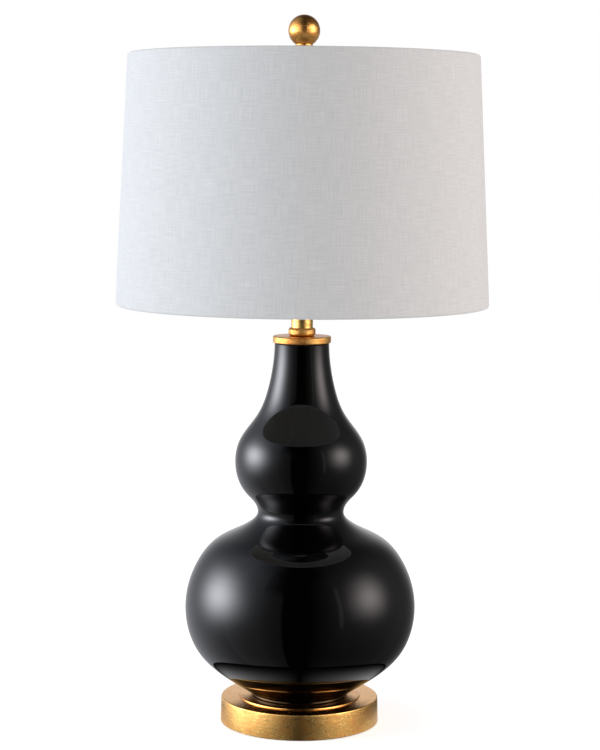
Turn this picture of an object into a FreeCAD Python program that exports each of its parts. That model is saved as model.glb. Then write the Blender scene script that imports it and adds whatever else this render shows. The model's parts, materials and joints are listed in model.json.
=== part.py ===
import FreeCAD, Part
import math
import os
import re
import Sketcher

# Double gourd table lamp: a black glazed gourd on a stepped gold base, a gold cap and neck,
# a drum shade on a harp, and a ball finial. Millimetres, +Z up.
# The origin is on the table, on the lamp's own axis.

document = FreeCAD.newDocument("DoubleGourdLamp")
sheet = document.addObject("Spreadsheet::Sheet", "Sizes")

sizes = {
    "Base": {
        "felt_margin": 2.5,
        "felt_thickness": 1.0,
        "plinth_radius": 82.0,
        "plinth_taper": 0.8,
        "plinth_height": 26.0,
        "plinth_rounding": 1.6,
        "plinth_ceiling": 11.0,
        "plinth_wall": 22.0,
        "step_inset": 19.0,
        "step_height": 1.6,
        "step_rounding": 1.2,
        "weight_hole_radius": 24.0,
        "weight_gap": 1.0,
        "weight_thickness": 7.5,
        "weight_screw_circle": 42.0,
        "weight_screw_count": 3,
        "weight_screw_radius": 2.0,
        "weight_screw_bite": 7.0,
        "screw_head_radius": 4.0,
        "screw_head_height": 2.4,
        "screw_slot_width": 1.0,
        "screw_slot_depth": 1.1,
    },
    "Cord inlet": {
        "cord_bore_radius": 3.4,
        "cord_bore_height": 8.0,
        "bushing_radius": 5.0,
        "bushing_length": 14.0,
        "bushing_flange_radius": 7.0,
        "bushing_flange_thickness": 2.0,
        "bushing_seat_depth": 2.4,
        "bushing_rounding": 0.8,
    },
    "Clearances": {
        "fit_clearance": 0.05,
        "bore_clearance": 0.25,
        "running_clearance": 0.4,
    },
    "Lamp pipe": {
        "pipe_radius": 5.15,
        "pipe_bore_radius": 3.5,
        "pipe_tail": 2.0,
        "pipe_engagement": 6.5,
        "washer_radius": 14.0,
        "washer_thickness": 1.5,
        "lock_washer_radius": 8.2,
        "lock_washer_thickness": 1.4,
        "lock_washer_slit": 1.2,
        "nut_corner_radius": 8.25,
        "nut_height": 4.5,
    },
    "Gourd": {
        "foot_gasket_radius": 47.0,
        "foot_gasket_thickness": 0.8,
        "foot_hole_radius": 7.0,
        "gourd_wall": 6.0,
        "gourd_floor": 8.0,
        "gourd_roof": 9.0,
        "gourd_mouth_radius": 15.0,
        "foot_radius": 50.0,
        "foot_rise": 1.7,
        "underside_radius": 78.5,
        "underside_rise": 19.0,
        "globe_low_radius": 105.5,
        "globe_low_rise": 25.0,
        "globe_radius": 119.0,
        "globe_rise": 46.0,
        "globe_high_radius": 108.5,
        "globe_high_rise": 43.0,
        "shoulder_radius": 89.0,
        "shoulder_rise": 25.0,
        "waist_low_radius": 52.0,
        "waist_low_rise": 20.5,
        "waist_radius": 44.5,
        "waist_rise": 9.5,
        "waist_high_radius": 45.5,
        "waist_high_rise": 7.0,
        "upper_low_radius": 57.5,
        "upper_low_rise": 15.0,
        "upper_radius": 68.0,
        "upper_rise": 33.0,
        "upper_high_radius": 63.5,
        "upper_high_rise": 20.5,
        "neck_low_radius": 45.0,
        "neck_low_rise": 27.0,
        "neck_middle_radius": 33.5,
        "neck_middle_rise": 30.5,
        "neck_radius": 28.0,
        "neck_rise": 42.7,
    },
    "Cap and neck": {
        "neck_gasket_radius": 26.5,
        "neck_gasket_thickness": 0.8,
        "cap_radius": 29.8,
        "cap_thickness": 7.0,
        "cap_rounding": 1.2,
        "cap_spigot_height": 6.0,
        "bead_radius": 13.9,
        "bead_height": 8.5,
        "bead_top_rounding": 2.6,
        "bead_foot_rounding": 3.2,
        "neck_tube_radius": 11.1,
        "neck_tube_wall": 1.0,
        "neck_tube_height": 29.0,
        "check_ring_radius": 12.5,
        "check_ring_thickness": 2.0,
        "check_ring_rounding": 0.7,
    },
    "Harp": {
        "saddle_thickness": 1.6,
        "saddle_width": 14.0,
        "saddle_half_length": 35.5,
        "post_thickness": 2.0,
        "post_height": 12.0,
        "tongue_thickness": 2.0,
        "tongue_width": 6.0,
        "tongue_lap": 2.0,
        "post_clearance": 0.2,
        "harp_leg_offset": 30.7,
        "harp_wire_radius": 2.0,
        "harp_height": 236.9,
        "leg_straight": 48.0,
        "bow_half_width": 54.0,
        "bow_low_height": 90.0,
        "bow_high_height": 160.0,
        "crown_half_width": 34.0,
        "leg_bend_radius": 40.0,
        "side_bend_radius": 60.0,
        "crown_bend_radius": 30.0,
        "sleeve_height": 14.0,
        "sleeve_wall": 0.8,
        "stud_block_radius": 5.5,
        "stud_flange_radius": 8.0,
        "stud_flange_thickness": 1.5,
        "stud_radius": 3.1,
        "stud_height": 13.0,
        "crown_gap": 1.0,
    },
    "Socket": {
        "socket_radius": 17.0,
        "socket_wall": 0.7,
        "socket_cap_height": 17.0,
        "socket_hub_radius": 8.0,
        "socket_hub_height": 7.0,
        "socket_cone_height": 5.0,
        "socket_overlap": 4.0,
        "socket_shell_height": 41.0,
        "socket_rim_roll": 1.0,
        "liner_wall": 0.7,
        "socket_body_lift": 9.8,
        "socket_body_radius": 10.5,
        "socket_body_height": 21.0,
        "socket_flange_radius": 14.2,
        "socket_flange_height": 4.0,
        "screw_shell_radius": 13.4,
        "screw_shell_wall": 0.4,
        "screw_shell_height": 21.5,
        "contact_radius": 3.0,
        "contact_height": 2.0,
        "terminal_screw_radius": 2.0,
        "terminal_head_radius": 3.2,
        "terminal_head_thickness": 1.8,
        "terminal_reach": 5.0,
        "terminal_height": 8.0,
        "set_screw_height": 3.5,
        "set_screw_radius": 1.3,
        "set_screw_head_radius": 2.4,
        "set_screw_head_length": 1.6,
        "switch_height": 20.0,
        "switch_shaft_radius": 1.8,
        "switch_hole_radius": 2.6,
        "switch_shaft_start": 5.0,
        "switch_shaft_end": 29.0,
        "knob_radius": 5.6,
        "knob_waist_radius": 3.6,
        "knob_length": 12.0,
        "knob_start": 21.0,
        "knob_rounding": 1.4,
        "knob_collar_length": 4.0,
    },
    "Bulb": {
        "bulb_gap": 0.5,
        "bulb_contact_radius": 4.5,
        "bulb_contact_height": 1.4,
        "bulb_insulator_height": 4.0,
        "bulb_insulator_margin": 1.0,
        "bulb_base_height": 17.0,
        "bulb_thread_depth": 0.6,
        "bulb_thread_count": 4,
        "bulb_collar_height": 22.0,
        "bulb_collar_radius": 15.0,
        "bulb_neck_radius": 17.0,
        "bulb_radius": 30.0,
        "bulb_wall": 1.0,
        "bulb_cheek_angle": 35.0,
    },
    "Shade": {
        "shade_top_radius": 177.8,
        "shade_flare": 12.7,
        "shade_height": 253.7,
        "shade_rise": 7.2,
        "cloth_thickness": 0.8,
        "backing_thickness": 0.6,
        "ring_wire_radius": 1.6,
        "ring_inset": 0.4,
        "ring_gap": 0.1,
        "hub_radius": 14.0,
        "hub_thickness": 1.8,
        "arm_wire_radius": 1.5,
        "arm_count": 3,
        "arm_start_radius": 11.5,
    },
    "Finial": {
        "finial_seat_radius": 7.0,
        "finial_seat_height": 3.0,
        "finial_stem_radius": 5.2,
        "finial_base_height": 15.7,
        "finial_collar_radius": 8.8,
        "finial_collar_height": 1.8,
        "finial_pin_radius": 2.4,
        "finial_pin_height": 8.0,
        "finial_ball_radius": 16.05,
    },
}

row = 0
for group, entries in sizes.items():
    row += 1
    sheet.set(f"A{row}", group)
    for alias, value in entries.items():
        row += 1
        sheet.set(f"A{row}", alias.replace("_", " "))
        sheet.set(f"B{row}", str(value))
        sheet.setAlias(f"B{row}", alias)
document.recompute()


side_axis = FreeCAD.Vector(1, 0, 0)
up_axis = FreeCAD.Vector(0, 0, 1)


def bound(text):
    """An expression for setExpression: each size's plain name becomes a link to the sheet."""
    return re.sub(r"\b[a-z][a-z_]+\b(?!\()", r"Sizes.\g<0>", str(text))


def number(text):
    """The value that an expression has now."""
    return float(sheet.evalExpression(bound(text)))


def bind(thing, settings):
    for key, text in settings.items():
        thing.setExpression(key, bound(text))


# The stations of the gourd's silhouette, from its foot up to its neck. Each has a radius, and its
# rise above the station before it.

stations = [
    "foot", "underside", "globe_low", "globe", "globe_high", "shoulder", "waist_low", "waist",
    "waist_high", "upper_low", "upper", "upper_high", "neck_low", "neck_middle", "neck",
]

# Levels up the lamp, each worked out from the pieces below it.

plinth_top = "(felt_thickness + plinth_height)"
recess_top = f"({plinth_top} - plinth_ceiling)"
step_top = f"({plinth_top} + step_height)"
gourd_foot = f"({step_top} + foot_gasket_thickness)"
gourd_rises = " + ".join(f"{name}_rise" for name in stations)
gourd_top = f"({gourd_foot} + {gourd_rises})"
cap_bottom = f"({gourd_top} + neck_gasket_thickness)"
cap_top = f"({cap_bottom} + cap_thickness)"
bead_top = f"({cap_top} + bead_height)"
tube_top = f"({bead_top} + neck_tube_height)"
check_ring_top = f"({tube_top} + check_ring_thickness)"
saddle_top = f"({check_ring_top} + saddle_thickness)"
nut_bottom = f"({recess_top} - washer_thickness - lock_washer_thickness - nut_height)"
pipe_bottom = f"({nut_bottom} - pipe_tail)"
pipe_top = f"({saddle_top} + pipe_engagement)"
hub_bottom = f"({saddle_top} + harp_height)"
hub_top = f"({hub_bottom} + hub_thickness)"
shade_top = f"({hub_bottom} + shade_rise)"
shade_bottom = f"({shade_top} - shade_height)"
finial_top = f"({hub_top} + finial_base_height)"
socket_cap_top = f"({saddle_top} + socket_cap_height)"
shell_bottom = f"({socket_cap_top} - socket_overlap)"
shell_top = f"({shell_bottom} + socket_shell_height)"
pipe_bore = "(pipe_radius + bore_clearance)"
rim_radius = "(plinth_radius - plinth_taper)"
recess_radius = "(plinth_radius - plinth_wall)"
step_radius = "(plinth_radius - step_inset)"
shade_bottom_radius = "(shade_top_radius + shade_flare)"


def start_body(name):
    body = document.addObject("PartDesign::Body", name)
    body.Label = name
    return body


def sketch_on(body, name, role):
    """A sketch on one of the body's own origin planes."""
    sketch = body.newObject("Sketcher::SketchObject", name)
    plane = next(item for item in body.Origin.OriginFeatures if item.Role == role)
    sketch.AttachmentSupport = [(plane, "")]
    sketch.MapMode = "FlatFace"
    return sketch


def place_corner(sketch, edge, end, across, up):
    """Hold one end of an edge at a place given by two expressions."""
    for kind, text in (("DistanceX", across), ("DistanceY", up)):
        index = sketch.addConstraint(Sketcher.Constraint(kind, -1, 1, edge, end, number(text)))
        sketch.setExpression(f"Constraints[{index}]", bound(text))


def draw_outline(sketch, corners):
    """A closed outline. A corner is (across, up), or (across, up, radius) at the end of an arc.

    An arc turns counterclockwise from the corner before it, or clockwise with "-" before its radius.
    """
    places = [FreeCAD.Vector(number(corner[0]), number(corner[1]), 0) for corner in corners]
    closing = places[1:] + places[:1]
    shapes = corners[1:] + corners[:1]
    starts = []
    for begin, finish, corner in zip(places, closing, shapes):
        if len(corner) == 2:
            edge = sketch.addGeometry(Part.LineSegment(begin, finish), False)
            starts.append((edge, 1, 2))
            continue
        radius = corner[2].lstrip("-")
        clockwise = corner[2].startswith("-")
        chord = finish - begin
        half = chord.Length / 2
        rise = math.sqrt(max(number(radius) ** 2 - half ** 2, 0))
        normal = FreeCAD.Vector(-chord.y, chord.x, 0).normalize()
        side = -1 if clockwise else 1
        centre = (begin + finish) * 0.5 + normal * (rise * side)
        middle = centre - normal * (number(radius) * side)
        edge = sketch.addGeometry(Part.Arc(begin, middle, finish), False)
        starts.append((edge, 2, 1) if clockwise else (edge, 1, 2))
        index = sketch.addConstraint(Sketcher.Constraint("Radius", edge, number(radius)))
        sketch.setExpression(f"Constraints[{index}]", bound(radius))
    for place, (edge, begin, finish) in enumerate(starts):
        after = starts[(place + 1) % len(starts)]
        sketch.addConstraint(Sketcher.Constraint("Coincident", edge, finish, after[0], after[1]))
    for (edge, begin, finish), corner in zip(starts, corners):
        place_corner(sketch, edge, begin, corner[0], corner[1])


def turned(name, corners):
    """A piece turned about the lamp's axis, from half of its section: (radius, height) corners."""
    body = start_body(name)
    sketch = sketch_on(body, f"{name}_section", "XZ_Plane")
    draw_outline(sketch, corners)
    turning = body.newObject("PartDesign::Revolution", f"{name}_turning")
    turning.Profile = sketch
    turning.ReferenceAxis = (sketch, ["V_Axis"])
    turning.Angle = 360.0
    document.recompute()
    return body


def ring(name, bore, radius, bottom, top):
    return turned(name, [(bore, bottom), (radius, bottom), (radius, top), (bore, top)])


def disk(name, radius, bottom, top):
    return turned(name, [("0", bottom), (radius, bottom), (radius, top), ("0", top)])


def round_edges(body, name, places, radius):
    """Round the turned edges at (radius, height) places."""
    names = []
    base = body.Tip
    spots = [(number(across), number(up)) for across, up in places]
    for index, edge in enumerate(base.Shape.Edges, 1):
        if not isinstance(edge.Curve, Part.Circle):
            continue
        for across, up in spots:
            if abs(edge.Curve.Radius - across) < 1e-6 and abs(edge.Curve.Center.z - up) < 1e-6:
                names.append(f"Edge{index}")
    fillet = body.newObject("PartDesign::Fillet", name)
    fillet.Base = (base, names)
    bind(fillet, {"Radius": radius})
    body.Tip = fillet
    document.recompute()


def drill(body, name, role, centre, radius, start, length):
    """A round pocket from a level above one of the body's origin planes, against its normal."""
    sketch = sketch_on(body, f"{name}_circle", role)
    bind(sketch, {"AttachmentOffset.Base.z": start})
    spot = FreeCAD.Vector(number(centre[0]), number(centre[1]), 0)
    circle = sketch.addGeometry(Part.Circle(spot, up_axis, number(radius)), False)
    place_corner(sketch, circle, 3, centre[0], centre[1])
    index = sketch.addConstraint(Sketcher.Constraint("Radius", circle, number(radius)))
    sketch.setExpression(f"Constraints[{index}]", bound(radius))
    before = body.Tip.Shape.Volume
    pocket = body.newObject("PartDesign::Pocket", name)
    pocket.Profile = sketch
    bind(pocket, {"Length": length})
    body.Tip = pocket
    document.recompute()
    if pocket.Shape.Volume > before - 1e-3:
        raise RuntimeError(f"{name} cuts nothing")
    return pocket


def repeat_round(body, name, features, count):
    """Copies of features, evenly round the lamp's axis."""
    pattern = body.newObject("PartDesign::PolarPattern", name)
    pattern.Originals = features
    axis = next(item for item in body.Origin.OriginFeatures if item.Role == "Z_Axis")
    pattern.Axis = (axis, [""])
    pattern.Angle = 360.0
    bind(pattern, {"Occurrences": count})
    body.Tip = pattern
    document.recompute()


def place(thing, base, axis, angle):
    """Put a piece that was made upright at its own place and slant."""
    thing.Placement = FreeCAD.Placement(FreeCAD.Vector(), FreeCAD.Rotation(axis, angle))
    for letter, text in zip("xyz", base):
        thing.setExpression(f"Placement.Base.{letter}", bound(text))


# Base: a felt pad under a turned plinth. The plinth's hollow holds the weight and the nut.

disk("base_felt", "plinth_radius - felt_margin", "0", "felt_thickness")

plinth = turned("base_plinth", [
    (pipe_bore, recess_top),
    (recess_radius, recess_top),
    (recess_radius, "felt_thickness"),
    ("plinth_radius", "felt_thickness"),
    (rim_radius, plinth_top),
    (step_radius, plinth_top),
    (step_radius, step_top),
    (pipe_bore, step_top),
])
round_edges(plinth, "plinth_edge", [(rim_radius, plinth_top)], "plinth_rounding")
round_edges(plinth, "step_edge", [(step_radius, step_top)], "step_rounding")
cord_height = "(felt_thickness + cord_bore_height)"
drill(plinth, "bushing_bore", "XZ_Plane", ("0", cord_height),
      "bushing_radius + fit_clearance", "0", "plinth_radius")
seat_face = "(plinth_radius - bushing_seat_depth)"
drill(plinth, "bushing_seat", "XZ_Plane", ("0", cord_height),
      "bushing_flange_radius + bore_clearance", f"-{seat_face}", "plinth_radius")

# The weight under the recess's ceiling, and its screws: slotted heads below, through the weight
# into the wood.

screw_spot = ("0", "-weight_screw_circle")
weight_bottom = f"({recess_top} - weight_thickness)"
weight = ring("base_weight", "weight_hole_radius", f"{recess_radius} - weight_gap",
              weight_bottom, recess_top)
weight_hole = drill(weight, "weight_screw_hole", "XY_Plane", screw_spot,
                    "weight_screw_radius + bore_clearance", recess_top, "weight_thickness")
repeat_round(weight, "weight_screw_holes", [weight_hole], "weight_screw_count")

screw_tip = f"({recess_top} + weight_screw_bite)"
pilot = drill(plinth, "weight_pilot_hole", "XY_Plane", screw_spot,
              "weight_screw_radius + fit_clearance", screw_tip, "weight_screw_bite")
repeat_round(plinth, "weight_pilot_holes", [pilot], "weight_screw_count")

screws = start_body("weight_screws")
screw_sketch = sketch_on(screws, "screw_section", "YZ_Plane")
head_bottom = f"({weight_bottom} - screw_head_height)"
draw_outline(screw_sketch, [
    ("0", head_bottom),
    ("screw_head_radius", head_bottom),
    ("screw_head_radius", weight_bottom),
    ("weight_screw_radius", weight_bottom),
    ("weight_screw_radius", screw_tip),
    ("0", screw_tip),
])
bind(screw_sketch, {"AttachmentOffset.Base.x": "-weight_screw_circle"})
screw = screws.newObject("PartDesign::Revolution", "screw_turning")
screw.Profile = screw_sketch
screw.ReferenceAxis = (screw_sketch, ["V_Axis"])
screw.Angle = 360.0
document.recompute()
slot_sketch = sketch_on(screws, "screw_slot_outline", "YZ_Plane")
slot_left = "(-weight_screw_circle - screw_slot_width / 2)"
slot_right = "(-weight_screw_circle + screw_slot_width / 2)"
slot_top = f"({head_bottom} + screw_slot_depth)"
draw_outline(slot_sketch, [
    (slot_left, head_bottom),
    (slot_right, head_bottom),
    (slot_right, slot_top),
    (slot_left, slot_top),
])
slot = screws.newObject("PartDesign::Pocket", "screw_slot")
slot.Profile = slot_sketch
slot.Midplane = True
bind(slot, {"Length": "2 * screw_head_radius + screw_slot_width"})
screws.Tip = slot
document.recompute()
repeat_round(screws, "screws_round", [screw, slot], "weight_screw_count")


def upright_ring(name, bore, radius, height):
    """A plain ring made of two cylinders, standing on the level z = 0."""
    body = document.addObject("Part::Cylinder", f"{name}_outside")
    bind(body, {"Radius": radius, "Height": height})
    hole = document.addObject("Part::Cylinder", f"{name}_hole")
    bind(hole, {"Radius": bore, "Height": height})
    cut = document.addObject("Part::Cut", name)
    cut.Base = body
    cut.Tool = hole
    return cut


# The cord's bushing: a flanged insulating tube in the plinth's back wall. It is made upright
# and laid along +Y, with its flange against the flat seat.

bushing = turned("cord_bushing", [
    ("cord_bore_radius", "-bushing_length"),
    ("bushing_radius", "-bushing_length"),
    ("bushing_radius", "0"),
    ("bushing_flange_radius", "0"),
    ("bushing_flange_radius", "bushing_flange_thickness"),
    ("cord_bore_radius", "bushing_flange_thickness"),
])
round_edges(bushing, "bushing_edge", [("bushing_flange_radius", "bushing_flange_thickness")],
            "bushing_rounding")
place(bushing, ("0", seat_face, cord_height), side_axis, -90)


# Washer, split lock washer and hexagon nut under the plinth's ceiling, and the threaded pipe
# that runs from them to the socket.

washer_bottom = f"({recess_top} - washer_thickness)"
lock_bottom = f"({washer_bottom} - lock_washer_thickness)"
ring("bottom_washer", pipe_bore, "washer_radius", washer_bottom, recess_top)
lock_washer = ring("lock_washer", pipe_bore, "lock_washer_radius", lock_bottom, washer_bottom)
slit_sketch = sketch_on(lock_washer, "slit_outline", "XY_Plane")
bind(slit_sketch, {"AttachmentOffset.Base.z": washer_bottom})
draw_outline(slit_sketch, [
    ("-lock_washer_slit / 2", "0"),
    ("lock_washer_slit / 2", "0"),
    ("lock_washer_slit / 2", "lock_washer_radius + lock_washer_slit"),
    ("-lock_washer_slit / 2", "lock_washer_radius + lock_washer_slit"),
])
slit = lock_washer.newObject("PartDesign::Pocket", "slit")
slit.Profile = slit_sketch
bind(slit, {"Length": "lock_washer_thickness"})
lock_washer.Tip = slit
document.recompute()

nut_outside = document.addObject("Part::Prism", "nut_outside")
nut_outside.Polygon = 6
bind(nut_outside, {"Circumradius": "nut_corner_radius", "Height": "nut_height",
                   "Placement.Base.z": nut_bottom})
nut_hole = document.addObject("Part::Cylinder", "nut_hole")
bind(nut_hole, {"Radius": "pipe_radius + fit_clearance", "Height": "nut_height",
                "Placement.Base.z": nut_bottom})
nut = document.addObject("Part::Cut", "bottom_nut")
nut.Base = nut_outside
nut.Tool = nut_hole

ring("lamp_pipe", "pipe_bore_radius", "pipe_radius", pipe_bottom, pipe_top)


# The gourd: one thrown and glazed shell. Its outside is a spline through the stations of the
# silhouette, and its inside is the same spline set in by the wall.


def gourd_solid(inset):
    """The full gourd from foot to neck, its skin set in by a distance."""
    floor = number(gourd_foot)
    level = floor
    places = []
    for name in stations:
        level += number(f"{name}_rise")
        places.append(FreeCAD.Vector(number(f"{name}_radius") - inset, 0, level))
    curve = Part.BSplineCurve()
    curve.interpolate(places)
    skin = curve.toShape()
    low = curve.value(curve.FirstParameter)
    high = curve.value(curve.LastParameter)
    corners = [high, FreeCAD.Vector(0, 0, high.z), FreeCAD.Vector(0, 0, floor),
               FreeCAD.Vector(low.x, 0, floor), low]
    sides = [Part.LineSegment(begin, finish).toShape()
             for begin, finish in zip(corners, corners[1:])]
    section = Part.Face(Part.Wire([skin] + sides))
    return section.revolve(FreeCAD.Vector(), up_axis, 360)


def slab(radius, bottom, top):
    """A plain cylinder on the lamp's axis between two levels."""
    base = FreeCAD.Vector(0, 0, number(bottom))
    return Part.makeCylinder(number(radius), number(f"{top} - {bottom}"), base, up_axis)


ring("foot_gasket", "foot_hole_radius", "foot_gasket_radius", step_top, gourd_foot)
gourd_floor_top = f"({gourd_foot} + gourd_floor)"
gourd_roof_bottom = f"({gourd_top} - gourd_roof)"
hollow = gourd_solid(number("gourd_wall"))
hollow = hollow.common(slab("2 * globe_radius", gourd_floor_top, gourd_roof_bottom))
shell = gourd_solid(0).cut(hollow)
shell = shell.cut(slab("foot_hole_radius", gourd_foot, gourd_floor_top))
shell = shell.cut(slab("gourd_mouth_radius", gourd_roof_bottom, gourd_top))
gourd = document.addObject("Part::Feature", "gourd_body")
gourd.Label = "gourd_body"
gourd.Shape = shell


# Neck: gasket, cap disk with a spigot in the gourd's mouth, bead, tube and check ring.

ring("neck_gasket", "gourd_mouth_radius", "neck_gasket_radius", gourd_top, cap_bottom)

spigot_radius = "(gourd_mouth_radius - bore_clearance)"
spigot_bottom = f"({cap_bottom} - cap_spigot_height)"
cap = turned("vase_cap", [
    (pipe_bore, spigot_bottom),
    (spigot_radius, spigot_bottom),
    (spigot_radius, cap_bottom),
    ("cap_radius", cap_bottom),
    ("cap_radius", cap_top),
    (pipe_bore, cap_top),
])
round_edges(cap, "cap_edges", [("cap_radius", cap_bottom), ("cap_radius", cap_top)], "cap_rounding")

bead = ring("neck_bead", pipe_bore, "bead_radius", cap_top, bead_top)
round_edges(bead, "bead_foot_edge", [("bead_radius", cap_top)], "bead_foot_rounding")
round_edges(bead, "bead_top_edge", [("bead_radius", bead_top)], "bead_top_rounding")

ring("neck_tube", "neck_tube_radius - neck_tube_wall", "neck_tube_radius", bead_top, tube_top)
check_ring = ring("check_ring", pipe_bore, "check_ring_radius", tube_top, check_ring_top)
round_edges(check_ring, "check_ring_edge", [("check_ring_radius", check_ring_top)],
            "check_ring_rounding")


# Harp saddle: a flat strap across the pipe with a post near each end.

saddle = start_body("harp_saddle")


def pad_across(body, name, outlines, width):
    """A pad of outlines in the plane y = 0, half of its width to each side."""
    sketch = sketch_on(body, f"{name}_outline", "XZ_Plane")
    for outline in outlines:
        draw_outline(sketch, outline)
    pad = body.newObject("PartDesign::Pad", name)
    pad.Profile = sketch
    pad.Midplane = True
    bind(pad, {"Length": width})
    body.Tip = pad
    document.recompute()


def upright_box(left, right, bottom, top):
    return [(left, bottom), (right, bottom), (right, top), (left, top)]


pad_across(saddle, "strap", [
    upright_box("-saddle_half_length", "saddle_half_length", check_ring_top, saddle_top),
], "saddle_width")
post_outside = "(harp_leg_offset - tongue_thickness / 2 - post_clearance)"
post_inside = f"({post_outside} - post_thickness)"
post_top = f"({saddle_top} + post_height)"
pad_across(saddle, "posts", [
    upright_box(post_inside, post_outside, saddle_top, post_top),
    upright_box(f"-{post_outside}", f"-{post_inside}", saddle_top, post_top),
], "tongue_width")
drill(saddle, "saddle_hole", "XY_Plane", ("0", "0"), pipe_bore, saddle_top, "saddle_thickness")


# Harp: one bent wire. Its flattened tongues stand on the saddle beside the posts, and its crown
# carries the stud. The wire runs along straight lines joined by tangent arcs.

crown_level = f"({hub_bottom} - stud_flange_thickness - crown_gap - harp_wire_radius)"


def bent_wire(points, radii):
    """Lines through points, with a tangent arc of its own radius at each inner point."""
    edges = []
    start = points[0]
    for before, corner, after, radius in zip(points, points[1:], points[2:], radii):
        inward = (before - corner).normalize()
        outward = (after - corner).normalize()
        half_angle = inward.getAngle(outward) / 2
        reach = radius / math.tan(half_angle)
        bisector = (inward + outward).normalize()
        first = corner + inward * reach
        last = corner + outward * reach
        middle = corner + bisector * (radius / math.sin(half_angle) - radius)
        edges.append(Part.LineSegment(start, first).toShape())
        edges.append(Part.Arc(first, middle, last).toShape())
        start = last
    edges.append(Part.LineSegment(start, points[-1]).toShape())
    return Part.Wire(edges)


base_level = number(saddle_top)
right_half = [
    (number("harp_leg_offset"), base_level + number("post_height + tongue_lap / 4")),
    (number("harp_leg_offset"), base_level + number("leg_straight")),
    (number("bow_half_width"), base_level + number("bow_low_height")),
    (number("bow_half_width"), base_level + number("bow_high_height")),
    (number("crown_half_width"), number(crown_level)),
]
route = [FreeCAD.Vector(across, 0, up) for across, up in right_half]
route += [FreeCAD.Vector(-across, 0, up) for across, up in reversed(right_half)]
half_radii = [number("leg_bend_radius"), number("side_bend_radius"),
              number("side_bend_radius"), number("crown_bend_radius")]
wire = bent_wire(route, half_radii + half_radii[::-1])
section = Part.Wire(Part.makeCircle(number("harp_wire_radius"), route[0], up_axis))
bow = wire.makePipeShell([section], True, False)
for side in (-1, 1):
    centre = side * number("harp_leg_offset")
    corner = FreeCAD.Vector(centre - number("tongue_thickness / 2"), -number("tongue_width / 2"),
                            base_level)
    tongue = Part.makeBox(number("tongue_thickness"), number("tongue_width"),
                          number("post_height + tongue_lap"), corner)
    bow = bow.fuse(tongue)
harp = document.addObject("Part::Feature", "harp_bow")
harp.Label = "harp_bow"
harp.Shape = bow.removeSplitter()


# The harp's sleeves: a flat tube round each post and tongue, free to slide up the leg.

inner_edge = f"({post_inside} - post_clearance)"
outer_edge = "(harp_leg_offset + harp_wire_radius + running_clearance)"
half_depth = "(tongue_width / 2 + running_clearance)"
for name, sign in (("harp_sleeve_left", "-"), ("harp_sleeve_right", "")):
    sleeve = start_body(name)
    sketch = sketch_on(sleeve, f"{name}_section", "XY_Plane")
    bind(sketch, {"AttachmentOffset.Base.z": saddle_top})
    for grow in ("0", "sleeve_wall"):
        near = f"{sign}({inner_edge} - {grow})"
        far = f"{sign}({outer_edge} + {grow})"
        left, right = (far, near) if sign else (near, far)
        deep = f"({half_depth} + {grow})"
        draw_outline(sketch, [
            (left, f"-{deep}"), (right, f"-{deep}"), (right, deep), (left, deep),
        ])
    pad = sleeve.newObject("PartDesign::Pad", f"{name}_length")
    pad.Profile = sketch
    bind(pad, {"Length": "sleeve_height"})
    sleeve.Tip = pad
document.recompute()


# The stud: a block that the harp's crown passes through, a flange that carries the shade's hub,
# and the threaded pin that the finial screws onto.

block_bottom = f"({crown_level} - harp_wire_radius - crown_gap)"
flange_bottom = f"({hub_bottom} - stud_flange_thickness)"
stud_top = f"({hub_bottom} + stud_height)"
stud = turned("harp_stud", [
    ("0", block_bottom),
    ("stud_block_radius", block_bottom),
    ("stud_block_radius", flange_bottom),
    ("stud_flange_radius", flange_bottom),
    ("stud_flange_radius", hub_bottom),
    ("stud_radius", hub_bottom),
    ("stud_radius", stud_top),
    ("0", stud_top),
])
drill(stud, "crown_hole", "YZ_Plane", ("0", crown_level), "harp_wire_radius + fit_clearance",
      "stud_flange_radius", "2 * stud_flange_radius")


# Socket: a cap on the pipe's end, an insulating body with its terminals and contact,
# and a paper liner inside a metal shell.

cone_bottom = f"({saddle_top} + socket_hub_height)"
cone_top = f"({cone_bottom} + socket_cone_height)"
set_screw_level = f"({saddle_top} + set_screw_height)"
socket_cap = turned("socket_cap", [
    (pipe_bore, saddle_top),
    ("socket_hub_radius", saddle_top),
    ("socket_hub_radius", cone_bottom),
    ("socket_radius", cone_top),
    ("socket_radius", socket_cap_top),
    ("socket_radius - socket_wall", socket_cap_top),
    ("socket_radius - socket_wall", f"{cone_top} + socket_wall"),
    ("socket_hub_radius - socket_wall", f"{cone_bottom} + socket_wall"),
    (pipe_bore, f"{cone_bottom} + socket_wall"),
])
drill(socket_cap, "set_screw_hole", "XZ_Plane", ("0", set_screw_level),
      "set_screw_radius + fit_clearance", "0", "socket_hub_radius")
set_screw = turned("socket_set_screw", [
    ("0", "pipe_radius + fit_clearance"),
    ("set_screw_radius", "pipe_radius + fit_clearance"),
    ("set_screw_radius", "socket_hub_radius"),
    ("set_screw_head_radius", "socket_hub_radius"),
    ("set_screw_head_radius", "socket_hub_radius + set_screw_head_length"),
    ("0", "socket_hub_radius + set_screw_head_length"),
])
place(set_screw, ("0", "0", set_screw_level), side_axis, -90)

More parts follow.
